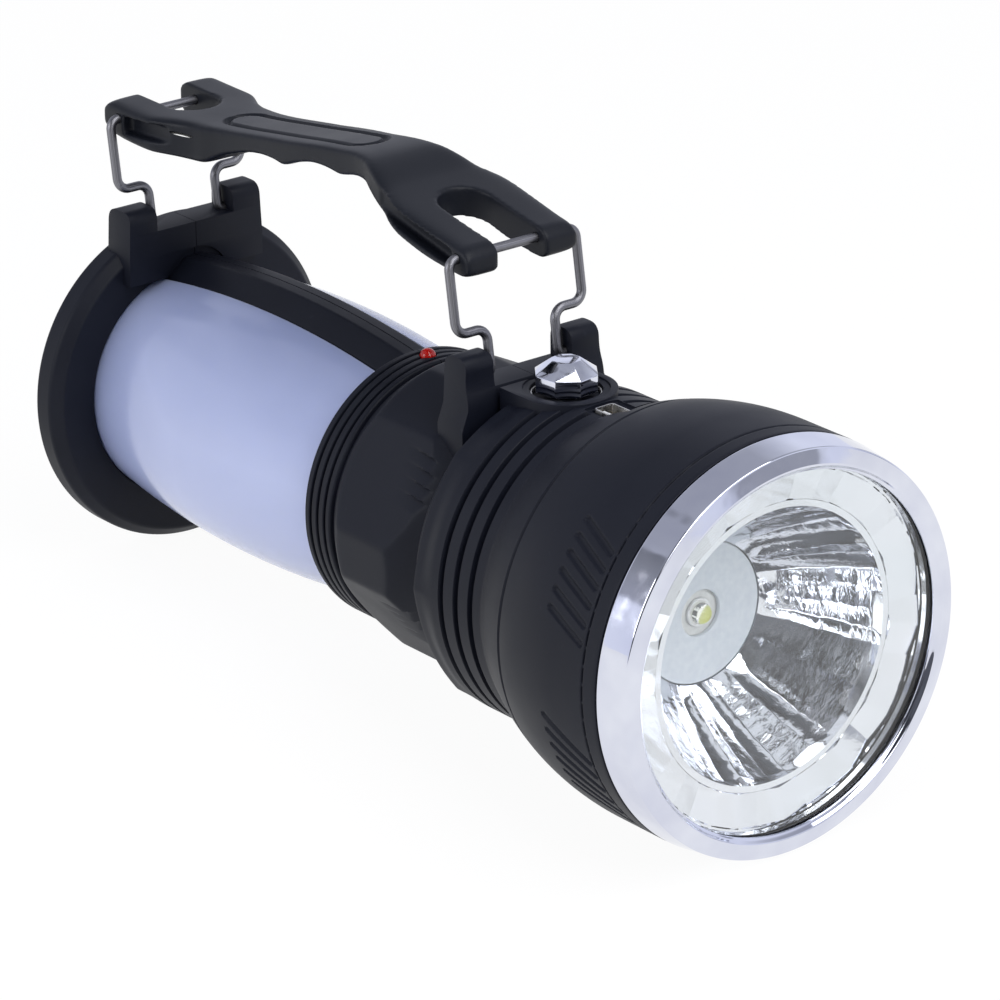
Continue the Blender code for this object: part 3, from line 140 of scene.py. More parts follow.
# %% Rounded outlines and turned parts
def rounded(corners, steps=4):
    """Each corner (along, across, rounding) becomes a curve that leaves one side at that distance
    from the corner and meets the other: (1-t)^2 start + 2t(1-t) corner + t^2 end. One more point
    on each side, close to the curve, keeps the shading of the flats between curves flat."""
    corners = np.array(corners, float)
    here = corners[:, :2]
    back = np.roll(here, 1, axis=0) - here
    on = np.roll(here, -1, axis=0) - here
    back_length = np.linalg.norm(back, axis=1, keepdims=True)
    on_length = np.linalg.norm(on, axis=1, keepdims=True)
    reach = np.minimum(corners[:, 2:3], 0.49 * np.minimum(back_length, on_length))
    start = (here + back / back_length * reach)[:, None]
    end = (here + on / on_length * reach)[:, None]
    t = np.linspace(0, 1, steps + 1)[None, :, None]
    curve = (1 - t) ** 2 * start + 2 * t * (1 - t) * here[:, None] + t ** 2 * end
    near = 0.008 * np.minimum(back_length, on_length)
    before = start + (back / back_length * near)[:, None]
    after = end + (on / on_length * near)[:, None]
    return np.concatenate([before, curve, after], axis=1).reshape(-1, 2)


def around(x, radius, turn):
    """Points (x, -radius cos turn, radius sin turn): turn 0 is the near side, 90 the top."""
    x, radius, turn = np.broadcast_arrays(x, radius, np.radians(turn))
    return np.stack([x, -radius * np.cos(turn), radius * np.sin(turn)], axis=-1)


def full_turn(count):
    """Even steps once round, in degrees."""
    return np.arange(count) * 360 / count


def arc(centre, radius, turn):
    """Points of a circle at some turns: centre + radius (cos turn, sin turn)."""
    turn = np.radians(turn)
    return np.stack([centre[0] + radius * np.cos(turn), centre[1] + radius * np.sin(turn)], axis=1)


def runs(*parts):
    """Even runs of values, (first, last, count) each, joined without doubles."""
    return np.unique(np.concatenate([np.linspace(*part) for part in parts]))


def columned(rows, count):
    """The radius of each (x, radius) row, the same in every column of a net."""
    return np.broadcast_to(rows[:, 1:], (len(rows), count))


axis_order = {"x": (0, 1, 2), "y": (2, 0, 1), "z": (1, 2, 0)}


def turned_mesh(name, outline, count=64, axis="x", centre=(0, 0, 0)):
    """A closed outline of (along, radius) rows carried once round an axis through a centre. The
    points are worked out round X, and then their axes are swapped."""
    points = around(outline[:, :1], outline[:, 1:], full_turn(count)[None])
    return net_mesh(name, points[..., axis_order[axis]] + np.array(centre, float))


def half_mesh(name, side, x, radius, turn, sharp=30.0, seam=0.08):
    """Half of a round part: rows round a closed outline, columns from seam to seam. Each half
    stands off the middle plane by the seam, and its two cut ends are closed by one face each."""
    points = around(x, radius, turn)
    points[..., 1] = side * (np.abs(points[..., 1]) + seam)
    rows, columns = points.shape[:2]
    faces, flat = net_faces(rows, columns, True, False)
    ends = [[row * columns + column for row in range(rows)] for column in (0, columns - 1)]
    return closed_mesh(name, points, faces + ends, flat, sharp)


box_faces = [[0, 1, 3, 2], [4, 6, 7, 5], [0, 4, 5, 1], [2, 3, 7, 6], [0, 2, 6, 4], [1, 5, 7, 3]]


def box_corners(low, high):
    """A block's eight corners, in the order that box_faces counts them."""
    return np.array([[x, y, z] for x in (low[0], high[0]) for y in (low[1], high[1])
                     for z in (low[2], high[2])], float)


def box_mesh(name, low, high):
    """A cutting block, or the core of a part whose edges are softened."""
    return closed_mesh(name, box_corners(low, high), box_faces)


def prism_mesh(name, outline, axis, start, end):
    """A closed outline carried straight from start to end along one axis."""
    points = np.zeros((2, len(outline), 3))
    points[:, :, [place for place in range(3) if place != axis]] = outline
    points[0, :, axis] = start
    points[1, :, axis] = end
    return capped_mesh(name, points)


def rod_mesh(name, start, end, radius, count=48):
    """A cutting rod between two points."""
    start, end = np.array(start, float), np.array(end, float)
    along = (end - start) / np.linalg.norm(end - start)
    helper = np.array([0.0, 0.0, 1.0]) if abs(along[2]) < 0.9 else np.array([1.0, 0.0, 0.0])
    side = np.cross(along, helper)
    side /= np.linalg.norm(side)
    up = np.cross(along, side)
    turn = np.radians(full_turn(count) + 3)[:, None]
    ring = radius * (np.cos(turn) * side + np.sin(turn) * up)
    return capped_mesh(name, np.stack([start + ring, end + ring]))


def settled(made, tools=()):
    """The mesh of an object with its modifiers worked out, and the helpers cleared away."""
    view = bpy.context.evaluated_depsgraph_get()
    mesh = bpy.data.meshes.new_from_object(made.evaluated_get(view), depsgraph=view)
    for item in (made, *tools):
        bpy.data.objects.remove(item, do_unlink=True)
    return mesh


def solid_change(mesh, cutters, operation="DIFFERENCE"):
    """Cut, keep or join meshes with exact Booleans and return the result as a new mesh."""
    made = linked("work", mesh)
    tools = [linked("tool", cutter) for cutter in cutters]
    for tool in tools:
        change = made.modifiers.new("change", "BOOLEAN")
        change.operation = operation
        change.solver = "EXACT"
        change.object = tool
    return settled(made, tools)


def softened(mesh, width, steps=3, angle=40.0, sharp=30.0):
    """Round every edge steeper than an angle by a width in millimetres."""
    made = linked("work", mesh)
    bevel = made.modifiers.new("round", "BEVEL")
    bevel.width = width * mm
    bevel.segments = steps
    bevel.limit_method = "ANGLE"
    bevel.angle_limit = math.radians(angle)
    return shaded(settled(made), sharp)


# %% [markdown]
# ## Finishes
#
# A finish starts from what the real surface is and how it was made. Colours are written as hex
# sRGB, as a picture shows them, and turned to linear light by one function. One small function
# adds a node with its settings, and fills or links its inputs.

# %% Colour and node helpers
def linear(colour):
    """Hex sRGB to linear red, green, blue and a full alpha."""
    channels = np.array([int(colour[place:place + 2], 16) / 255 for place in (0, 2, 4)])
    low = channels / 12.92
    high = ((channels + 0.055) / 1.055) ** 2.4
    return (*np.where(channels <= 0.04045, low, high).tolist(), 1.0)


def fill(node, inputs):
    """Fill a node's inputs, by name or place: outputs are linked, hex colours and numbers set."""
    for place, value in (inputs if isinstance(inputs, dict) else dict(enumerate(inputs))).items():
        if isinstance(value, bpy.types.NodeSocket):
            node.id_data.links.new(value, node.inputs[place])
        else:
            node.inputs[place].default_value = linear(value) if isinstance(value, str) else value


def add(material, kind, inputs=(), out=0, **settings):
    """Add a node with its settings, fill its inputs and give back one of its outputs."""
    node = material.node_tree.nodes.new("ShaderNode" + kind)
    for name, value in settings.items():
        setattr(node, name, value)
    fill(node, inputs)
    return node.outputs[out]


def finish(name, colour, **values):
    """A material with its Principled shader's plain values set; words with _ are socket names."""
    material = bpy.data.materials.new(name)
    material.use_nodes = True
    shader = material.node_tree.nodes["Principled BSDF"]
    fill(shader, {"Base Color": colour} | {key.replace("_", " "): values[key] for key in values})
    material.diffuse_color = linear(colour)
    return material, shader


# %% [markdown]
# ## Black moulded plastic
#
# The body is ABS, coloured nearly black right through and shot into a spark-eroded mould. The
# tool leaves a fine grain that spreads the highlight, so the plastic looks satin and bluish.
# It could be one dark colour. The grain, slow flow marks and a little dust make it plastic.

# %% Black ABS for the body, and the handle's greyer ABS
def moulded_plastic(name, colour, paler, roughness, shine):
    """Grain of about 0.35 mm, which is coarse for eroded steel but the finest that shows, over
    flow marks of about 20 mm and rare pale specks of dust."""
    material, shader = finish(name, colour, Roughness=roughness, Specular_IOR_Level=shine)
    place = add(material, "TexCoord", out="Object")
    fine = add(material, "TexNoise", {
        "Vector": place, "Scale": 1 / (0.35 * mm), "Detail": 2.0, "Roughness": 0.6,
    })
    slow = add(material, "TexNoise", {"Vector": place, "Scale": 50.0, "Detail": 3.0})
    dust = add(material, "TexNoise", {"Vector": place, "Scale": 420.0, "Detail": 1.0})
    specks = add(material, "MapRange", [dust, 0.74, 0.80, 0.0, 0.35])
    tone = add(material, "MapRange", [slow, 0.3, 0.75, 0.0, 0.25])
    share = add(material, "Math", [tone, specks], operation="MAXIMUM")
    fill(shader, {
        "Base Color": add(material, "Mix", {0: share, 6: colour, 7: paler}, 2, data_type="RGBA"),
        "Roughness": add(material, "MapRange", [
            slow, 0.25, 0.8, roughness - 0.05, roughness + 0.08,
        ]),
        "Normal": add(material, "Bump", {"Height": fine, "Strength": 0.5, "Distance": 0.03 * mm}),
    })
    return material


black_abs = moulded_plastic("black_abs_spark_eroded", "10131E", "242731", 0.48, 0.18)
handle_abs = moulded_plastic("handle_abs_spark_eroded", "11141C", "272A33", 0.4, 0.22)
print("Two moulded plastics")

# %% [markdown]
# ## Milky diffuser plastic
#
# The diffusers are polycarbonate with a little titanium white in it, so they glow when lit and
# look like thin bluish milk glass when not. The mould was polished, so the highlights are clear.
# Light goes a few millimetres into it: that is subsurface scattering. Its colour is also painted
# darker
# # towards the top and towards the base end: that is painted shade.

# %% Opal polycarbonate
opal, shader = finish(
    "opal_polycarbonate", "B4BDDD", Roughness=0.16, IOR=1.5,
    Subsurface_Weight=0.35, Subsurface_Scale=0.003, Subsurface_Radius=(1.0, 1.05, 1.2),
)
place = add(opal, "TexCoord", out="Object")
flow = add(opal, "TexNoise", {"Vector": place, "Scale": 28.0, "Detail": 2.0})
parts = add(opal, "SeparateXYZ", [place]).node.outputs
# Painted shade: high and rear darken the shell towards its top and towards the base end, mixing in
# the darker 8E99C0.
high = add(opal, "MapRange", [parts["Z"], 0.004, 0.034, 0.0, 0.9])
rear = add(opal, "MapRange", [parts["X"], 0.045, 0.008, 0.0, 0.75])
edge = add(opal, "Math", [high, rear], operation="MAXIMUM")
drift = add(opal, "MapRange", [flow, 0.3, 0.7, -0.06, 0.06])
share = add(opal, "Math", [edge, drift], operation="ADD", use_clamp=True)
fill(shader, {
    "Base Color": add(opal, "Mix", {0: share, 6: "BDC6E8", 7: "8E99C0"}, 2, data_type="RGBA"),
    "Roughness": add(opal, "MapRange", [flow, 0.3, 0.7, 0.12, 0.2]),
    "Normal": add(opal, "Bump", {"Height": flow, "Strength": 0.2, "Distance": 0.4 * mm}),
})

# %% [markdown]
# ## Plated plastic and mirror coat
#
# The bezel and the button are ABS plated with copper, nickel and chrome. The plating follows the
# moulding, so its reflections wander a little. The bowl is coated with aluminium in a vacuum: it
# is brighter, and its fine orange-peel surface breaks the lamp's image into a soft beam.

# %% Chrome plate
def chrome_plate(name, wander, size):
    """Metal with reflections that wander by a slow bump, sized in millimetres."""
    material, shader = finish(name, "D6D9E6", Metallic=1.0, Roughness=0.06)
    place = add(material, "TexCoord", out="Object")
    slow = add(material, "TexNoise", {"Vector": place, "Scale": 1 / (size * mm), "Detail": 2.0})
    haze = add(material, "TexNoise", {"Vector": place, "Scale": 220.0, "Detail": 4.0})
    share = add(material, "MapRange", [slow, 0.3, 0.7])
    tone = add(material, "Mix", {0: share, 6: "D0D3E2", 7: "DEE1EC"}, 2, data_type="RGBA")
    worn = add(material, "MapRange", [haze, 0.45, 0.75, 0.045, 0.12])
    bump = add(material, "Bump", {"Height": slow, "Strength": 0.35, "Distance": wander * mm})
    fill(shader, {"Base Color": tone, "Roughness": worn, "Normal": bump})
    return material


chrome = chrome_plate("chrome_plated_abs", 0.25, 12.0)
button_chrome = chrome_plate("chrome_plated_button", 0.03, 3.0)


# %% Vacuum-coated aluminium for the bowl
def mirror_coat(name, streak_depth):
    """Radial streaks come from noise read on the unit circle, (y, z) over its length, so they
    run out from the axis and have no seam; the peel is plain noise of about 0.8 mm."""
    material, shader = finish(name, "E9EBF1", Metallic=1.0, Roughness=0.05)
    place = add(material, "TexCoord", out="Object")
    flatten = add(material, "VectorMath", [place, (0.0, 1.0, 1.0)], operation="MULTIPLY")
    unit = add(material, "VectorMath", [flatten], operation="NORMALIZE")
    slow = add(material, "VectorMath", [place, (90.0, 0.0, 0.0)], operation="MULTIPLY")
    rays = add(material, "VectorMath", [unit, slow], operation="ADD")
    streak = add(material, "TexNoise", {
        "Vector": rays, "Scale": 7.0, "Detail": 3.0, "Distortion": 0.6,
    })
    peel = add(material, "TexNoise", {"Vector": place, "Scale": 1250.0, "Detail": 1.0})
    bump = add(material, "Bump", {"Height": streak, "Strength": 1.0, "Distance": streak_depth * mm})
    fill(shader, {
        "Roughness": add(material, "MapRange", [streak, 0.3, 0.7, 0.03, 0.08]),
        "Normal": add(material, "Bump", {
            "Height": peel, "Strength": 1.0, "Distance": 0.001 * mm, "Normal": bump,
        }),
    })
    return material


bowl_mirror = mirror_coat("vacuum_coated_bowl", 0.05)
ring_mirror = mirror_coat("vacuum_coated_ring", 0.02)
print("Chrome and mirror coats")

# %% [markdown]
# ## Wire, small metal, plastics and board
#
# The bails are drawn spring wire. The die leaves scratches along the wire, and the coils of the
# straightener leave it satin grey. The screws and the socket are nickel-plated steel. All of
# these, and the plain plastics, boards and rubber, vary by one noise that is stretched by how
# the surface was drawn, turned, milled or moulded.

# %% One function for every surface with one grain
def grained(name, colour, paler, roughness, cells, depth, source="Object", **values):
    """Tone and height vary with one noise, given in cells per metre each way, or per map unit,
    and a bump depth in millimetres; a metal's roughness varies with it too."""
    material, shader = finish(name, colour, Roughness=roughness, **values)
    place = add(material, "TexCoord", out=source)
    drawn = add(material, "VectorMath", [place, cells], operation="MULTIPLY")
    grain = add(material, "TexNoise", {"Vector": drawn, "Scale": 1.0, "Detail": 3.0})
    share = add(material, "MapRange", [grain, 0.35, 0.7])
    is_metal = "Metallic" in values
    fill(shader, {
        "Base Color": add(material, "Mix", {0: share, 6: colour, 7: paler}, 2, data_type="RGBA"),
        "Normal": add(material, "Bump", {
            "Height": grain, "Strength": 0.3 if is_metal else 0.4, "Distance": depth * mm,
        }),
    })
    if is_metal:
        worn = add(material, "MapRange", [grain, 0.3, 0.75, roughness - 0.08, roughness + 0.12])
        fill(shader, {"Roughness": worn})
    return material


def metal(name, colour, paler, roughness, cells, source="Object"):
    """Bare metal, whose grain is 0.03 mm high."""
    return grained(name, colour, paler, roughness, cells, 0.03, source, Metallic=1.0)


def plastic(name, colour, paler, roughness, size, depth, **values):
    """A moulded, printed or poured surface, with grain of one size each way in millimetres."""
    return grained(name, colour, paler, roughness, (1 / (size * mm),) * 3, depth, **values)


spring_wire = metal("drawn_spring_wire", "6B6B70", "96969C", 0.42, (24.0, 6.0, 1.0), "UV")
nickel = metal("nickel_plated_steel", "A9A8A6", "C9C8C4", 0.26, (900.0, 900.0, 900.0))
brass = metal("brass_spring_contact", "B58A45", "D9B46C", 0.3, (600.0, 2500.0, 600.0))
turned_aluminium = metal("turned_aluminium", "A0A3A8", "C0C3C8", 0.35, (2600.0, 120.0, 120.0))
disc_plastic = plastic("pale_styrene_disc", "CAD1DA", "D4DAE1", 0.5, 1.5, 0.01)
board_white = plastic("white_solder_mask", "D5D7D6", "E0E1E0", 0.4, 0.8, 0.01)
white_plastic = plastic("white_abs", "DFE0E2", "EBECEE", 0.5, 3.0, 0.02)
tray_plastic = plastic("grey_abs_tray", "37383D", "44464C", 0.55, 1.0, 0.04)
rubber = plastic("moulded_rubber", "151517", "232326", 0.8, 0.6, 0.05)
board_green = plastic("green_solder_mask", "1B5532", "23663D", 0.35, 0.8, 0.02)
cell_wrap = plastic("shrunk_pvc_wrap", "356AA6", "3F78B6", 0.35, 6.0, 0.08)
phosphor = plastic("yellow_phosphor", "CDD374", "DDE28F", 0.55, 0.3, 0.02)
red_lens = plastic("red_diffused_epoxy", "B3130F", "C92018", 0.12, 1.2, 0.01,
                   Transmission_Weight=0.15)

# %% [markdown]
# ## Clear parts
#
# The lens is polycarbonate, flat and thin, so it shows mostly by the reflections on its face. A
# wholly clear shader keeps those and lets the bowl through. Its faint green is the plastic's own.
# Lamp rays pass straight through both clear parts, so what lies behind is lit as through a thin
# sheet.

# %% Clear lens and the lamp's silicone dome
def clear(name, colour, roughness, ior, scale, detail):
    """A clear solid whose shadow rays are let through, and a noise for its small unevenness."""
    material, shader = finish(name, colour, Roughness=roughness, IOR=ior, Transmission_Weight=1.0)
    place = add(material, "TexCoord", out="Object")
    uneven = add(material, "TexNoise", {"Vector": place, "Scale": scale, "Detail": detail})
    shadow = add(material, "LightPath", out="Is Shadow Ray")
    through = add(material, "BsdfTransparent")
    mix = add(material, "MixShader", [shadow, shader.outputs[0], through])
    fill(material.node_tree.nodes["Material Output"], {"Surface": mix})
    return material, shader, uneven


lens_clear, shader, wave = clear("clear_polycarbonate", "FAFCFC", 0.0, 1.5, 25.0, 1.0)
share = add(lens_clear, "MapRange", [wave, 0.3, 0.7])
fill(shader, {
    "Base Color": add(lens_clear, "Mix", {0: share, 6: "F8FBFB", 7: "FDFEFE"}, 2, data_type="RGBA"),
})
silicone, shader, cloud = clear("clear_silicone_dome", "FFFFF8", 0.03, 1.41, 900.0, 2.0)
fill(shader, {"Roughness": add(silicone, "MapRange", [cloud, 0.3, 0.7, 0.02, 0.06])})
print("All finishes made:", len(bpy.data.materials))

# %% [markdown]
# ## The base flange and the bars of the lantern
#
# The body is moulded as a left and a right half that meet in the middle plane, where a thin
# parting line runs along the top bar. Each half is made here by itself, so the line is a real
# gap. The flange is a round cup with a small chamfer at its front edge.

# %% Flange, in two halves
barrel_back, barrel_front = 8.3, 100.6
half_turn = {-1: np.linspace(-90, 90, 97)[None], 1: np.linspace(90, 270, 97)[None]}
side_names = {-1: "left", 1: "right"}


def barrel(x, off=0.0):
    """The lantern's bulge: one long arc, 30.0 mm in radius at its ends and 33.5 in the middle."""
    half = (barrel_front - barrel_back) / 2
    big = (half ** 2 + 3.5 ** 2) / 7
    along = np.clip(x, barrel_back, barrel_front) - barrel_back - half
    return np.sqrt(big ** 2 - along ** 2) - big + 33.5 + off


flange_outline = rounded([
    (0.0, 39.7, 0.2), (0.0, 42.1, 0.9), (5.7, 42.1, 0.7), (8.3, 39.6, 0.6), (8.3, 30.3, 0.2),
    (6.8, 30.3, 0.1), (6.8, 27.4, 0.1), (8.3, 27.4, 0.2), (8.3, 24.0, 0.3), (5.8, 24.0, 0.3),
    (5.8, 39.7, 0.4), (2.2, 39.7, 0.1),
])
for side, word in side_names.items():
    mesh = half_mesh(f"flange_{word}", side, flange_outline[:, :1], flange_outline[:, 1:],
                     half_turn[side])
    piece(f"flange_{word}", mesh, black_abs, "torch", f"housing_{word}")


# %% [markdown]
# The top bar stands 3 mm proud of the barrel, with sloping sides and a crowned top. The bottom bar
# is flush. Each is one section carried along the barrel's arc.

# %% Top and bottom bars
def bar_mesh(name, side, corners, up):
    """Section rows (y, height over the barrel) at stations along x; the barrel's own curve is
    added, so the bar bows with it: z = up * sqrt((barrel + height)^2 - y^2)."""
    section = rounded(corners)
    x = np.linspace(7.2, 101.6, 61)[:, None]
    y = section[None, :, 0]
    radius = barrel(x, section[None, :, 1])
    z = up * np.sqrt(radius ** 2 - y ** 2)
    points = np.stack(np.broadcast_arrays(x, side * y, z), axis=-1)
    return capped_mesh(name, points, mapped=True)


crown = [(0.1, -3.0, 0.1), (0.1, 3.2, 0.12), (3.1, 3.2, 0.4), (8.3, -0.35, 0.5),
         (8.62, -3.0, 0.1)]
flush = [(0.1, -3.0, 0.1), (0.1, 0.1, 0.12), (8.3, 0.1, 0.4), (8.62, -3.0, 0.1)]
for side, word in side_names.items():
    for height, corners, up in (("top", crown, 1), ("bottom", flush, -1)):
        mesh = bar_mesh("bar", side, corners, up)
        piece(f"{height}_bar_{word}", mesh, black_abs, "torch", f"housing_{word}")

# %% [markdown]
# ## Ribbed ring, faceted neck and collar
#
# Ahead of the lantern comes a ring with three fine grooves, then a neck like a big nut: flat
# facets with round chamfers at both ends, which cut the corners to curved edges. The radius at a
# point is the least of the flats' and the chamfers'. Each column of the net puts its rows where
# its own edges are, so the curved edges come out clean.

# %% The ring
ring_outline = [(100.6, 26.4, 0.2), (100.6, 27.4, 0.2), (101.9, 27.4, 0.1), (101.9, 30.3, 0.1),
                (100.6, 30.3, 0.2), (100.6, 33.9, 0.45)]
for groove in (102.75, 105.45, 108.15):
    ring_outline += [(groove - 0.5, 33.9, 0.25), (groove - 0.35, 32.9, 0.15),
                     (groove + 0.35, 32.9, 0.15), (groove + 0.5, 33.9, 0.25)]
ring_outline += [(110.2, 33.9, 0.5), (110.7, 32.0, 0.3), (110.7, 26.4, 0.2)]
ring_outline = rounded(ring_outline, 3)
lamp_hole = rod_mesh("hole", (105.1, 0, 26), (105.1, 0, 36), 2.2)
for side, word in side_names.items():
    mesh = half_mesh("ring", side, ring_outline[:, :1], ring_outline[:, 1:], half_turn[side])
    mesh = solid_change(mesh, [lamp_hole.copy()])
    piece(f"ring_{word}", mesh, black_abs, "torch", f"housing_{word}")

# %% The neck's radius
neck_planes = ((-90.0, 28.5), (-38.5, 23.0), (-5.75, 9.75), (27.0, 23.0), (63.5, 13.5),
               (90.0, 13.0))


def least(values, edge=0.22):
    """The least of several radii, its creases rounded: -edge log(sum of exp(-radius / edge))."""
    low = np.minimum.reduce(values)
    return low - edge * np.log(sum(np.exp((low - value) / edge) for value in values))


def flats(turn):
    """The prism's radius: each plane's distance over the cosine of the angle off its middle. A
    plane that spans 2a degrees lies 36.6 cos a from the axis, so all corners are at 36.6 mm."""
    planes = []
    for middle, span in neck_planes:
        off = np.cos(np.radians(turn - middle))
        planes.append(36.6 * math.cos(math.radians(span)) / np.clip(off, 0.3, 1))
    return least(planes)


def front_edge(turn):
    """Where the front chamfer, which leans a little, meets a flat that is 33.7 mm from the axis."""
    return 139.1 + 3.5 * np.sin(np.radians(turn))


def notches(x, turn, end):
    """Four grip steps on each wide flat: a saw wave over the turn, deeper towards the front."""
    depth = np.zeros(np.broadcast(x, turn).shape)
    for first in (20.9, -46.1):
        share = (turn + (x - end) * 0.18 - first) / 5.7
        inside = (share > 0) & (share < 4)
        depth = np.maximum(depth, np.where(inside, share % 1, 0.0))
    return 0.85 * depth * np.clip((x - end + 8.4) / 8.4, 0, 1)


# %% Neck and collar, in two halves
collar_end = rounded([(134.2, 36.5, 0.3), (146.9, 30.6, 0.3), (147.2, 30.8, 0.1),
                      (150.6, 30.8, 0.1), (150.6, 34.1, 0.3), (152.6, 34.1, 0.3),
                      (152.6, 26.2, 0.2)], 3)[12:-5]
collar_end = np.concatenate([collar_end, [(110.4, 26.2)]])
stations = runs((0, 2, 11), (2, 3, 26), (3, 4, 13), (4, 5, 6))[:, None]
screw_places = [(hole_x, z) for hole_x in (118.8, 140.4) for z in (16.0, -16.0)]
for side, word in side_names.items():
    turn = np.linspace(-90, 90, 361)[None] + (180 if side > 0 else 0)
    tilted = np.where(turn > 90, 180 - turn, turn)
    prism = flats(tilted)
    rear_end = 111.2 + (prism - 33.2) / 0.65
    front_end = front_edge(tilted) + (33.7 - prism) / 0.6
    knots = np.concatenate([np.full_like(prism, 110.4), rear_end - 0.5, rear_end + 0.5,
                            front_end - 0.5, front_end + 1.9, np.full_like(prism, 146.9)])
    step = np.clip(stations.astype(int), 0, 4)
    column = np.arange(turn.shape[1])[None]
    start = knots[step, column]
    x = start + (stations - step) * (knots[step + 1, column] - start)
    outer = least([prism - notches(x, tilted, front_end), 33.2 + (x - 111.2) * 0.65,
                   np.maximum(33.7 + (front_edge(tilted) - x) * 0.6, 30.4)])
    tail_x = np.broadcast_to(collar_end[:, :1], (len(collar_end), turn.shape[1]))
    radius = np.concatenate([outer, columned(collar_end, turn.shape[1])])
    mesh = half_mesh("neck", side, np.concatenate([x, tail_x]), radius, turn, sharp=32.0)
    if side > 0:
        mesh = solid_change(mesh, [rod_mesh("hole", (hole_x, 5.7, z), (hole_x, 45, z), 3.1)
                                   for hole_x, z in screw_places])
    piece(f"neck_{word}", mesh, black_abs, "torch", f"housing_{word}")

# %% [markdown]
# ## Brackets for the bails
#
# Two ears on each bracket hold a bail's ends. A bridge joins them, and the rear one has an arched
# recess where the top bar comes out. Each is a flat outline made thick, cut, and softened with a
# Bevel modifier, since the edges run every way.

# %% Brackets
def bracket_mesh(pivot, bridge, low, foot, front, arched):
    """The bracket from the front, cut to its rounded side view, then bored for the wire."""
    front_view = np.array([(-foot, low), (foot, low), (20.2, 36.4), (19.6, 48.4), (11.6, 48.4),
                           (11.6, bridge), (-11.6, bridge), (-11.6, 48.4), (-19.6, 48.4),
                           (-20.2, 36.4)])
    body = prism_mesh("bracket", front_view, 0, pivot - 6, pivot + 5)
    side_view = rounded([(pivot - 5.0, low - 2, 0), (pivot + 4.3, low - 2, 0),
                         (pivot + 4.3, 38.0, 2.0), (pivot + front, 42.0, 2.0),
                         (pivot + front, 48.3, 3.6), (pivot - 5.0, 48.3, 3.4)], 8)
    body = solid_change(body, [prism_mesh("side", side_view, 1, -22, 22)], "INTERSECT")
    cutters = [rod_mesh("bore", (pivot, side * 11, pivot_z), (pivot, side * 17.8, pivot_z), 1.3)
               for side in (-1, 1)]
    if arched:
        arch = arc((0, 26.2), 9.6, np.linspace(0, 180, 33))
        arch = np.concatenate([arch, [(-9.6, 20.0), (9.6, 20.0)]])
        cutters.append(prism_mesh("arch", arch, 0, pivot + 3.4, pivot + 6))
    return softened(solid_change(body, cutters), 0.55)


rear_bracket = bracket_mesh(rear_pivot, 42.4, 29.5, 20.2, 4.3, True)
front_bracket = bracket_mesh(front_pivot, 40.5, 25.0, 24.6, 3.0, False)
for word, mesh in (("rear", rear_bracket), ("front", front_bracket)):
    for side, hand in side_names.items():
        keep = ((-5, 0.08, 20), (160, 25, 50)) if side > 0 else ((-5, -25, 20), (160, -0.08, 50))
        half = shaded(solid_change(mesh.copy(), [box_mesh("keep", *keep)], "INTERSECT"))
        piece(f"{word}_bracket_{hand}", half, black_abs, "torch", f"housing_{hand}")

# %% [markdown]
# ## Milky half shells, indicator and base cover
#
# Each diffuser is a shell on the barrel's arc that stops beside the bars. Its columns are spaced
# between the two bars at every row, so both long edges are straight and true.

# %% Diffusers
shell_x = np.linspace(7.2, 101.7, 49)
shell_rows = np.concatenate([np.stack([shell_x, barrel(shell_x, 0.0)], axis=1),
                             np.stack([shell_x[::-1], barrel(shell_x[::-1], -2.0)], axis=1)])
for side, word in side_names.items():
    edge = np.degrees(np.arccos(9.0 / shell_rows[:, 1:]))
    turn = np.linspace(-1, 1, 81)[None] * edge + (180 if side > 0 else 0)
    mesh = half_mesh("shell", side, shell_rows[:, :1], shell_rows[:, 1:], turn, seam=0.0)
    piece(f"diffuser_{word}_shell", mesh, opal, "torch", f"diffuser_{word}")


# %% Indicator
def dome(base, radius, steps=12):
    """Corner rows of a half ball on its base, from its rim to its pole."""
    turn = np.radians(np.linspace(0, 90, steps))
    return np.stack([base + radius * np.sin(turn), radius * np.cos(turn)], axis=1)


led = np.concatenate([[(30.0, 0.0), (30.0, 2.0)], dome(33.5, 2.0)])
led_mesh = turned_mesh("led", led, 40, "z", (105.1, 0, 0))
piece("indicator_dome", led_mesh, red_lens, "torch", "indicator_led")

# %% Base cover, with two raised rings
cover_outline = rounded([(0.05, 0.0, 0), (0.05, 12.0, 0.3), (0.55, 12.6, 0.3), (0.55, 14.4, 0.3),
                         (0.05, 15.0, 0.3), (0.05, 34.8, 0.3), (0.55, 35.3, 0.2), (0.55, 36.3, 0.2),
                         (0.05, 36.8, 0.3), (0.05, 39.4, 0.3), (2.0, 39.4, 0.2), (2.0, 0.0, 0)])
cover_mesh = turned_mesh("cover", cover_outline, 160)
cover_places = [(33 * -math.cos(math.radians(a)), 33 * math.sin(math.radians(a)))
                for a in (42, 138, 222, 318)]
heads = [rod_mesh("head", (-2, y, z), (1.4, y, z), 3.1) for y, z in cover_places]
shanks = [rod_mesh("shank", (-2, y, z), (4, y, z), 1.6) for y, z in cover_places]
cover_mesh = shaded(solid_change(cover_mesh, heads + shanks))
piece("base_cover_disc", cover_mesh, black_abs, "torch", "base_cover")


# %% [markdown]
# ## Screws
#
# All thirteen screws are one shape at several sizes: a pan head, a shank with a real thread, and
# a cross recess cut with two small blocks.

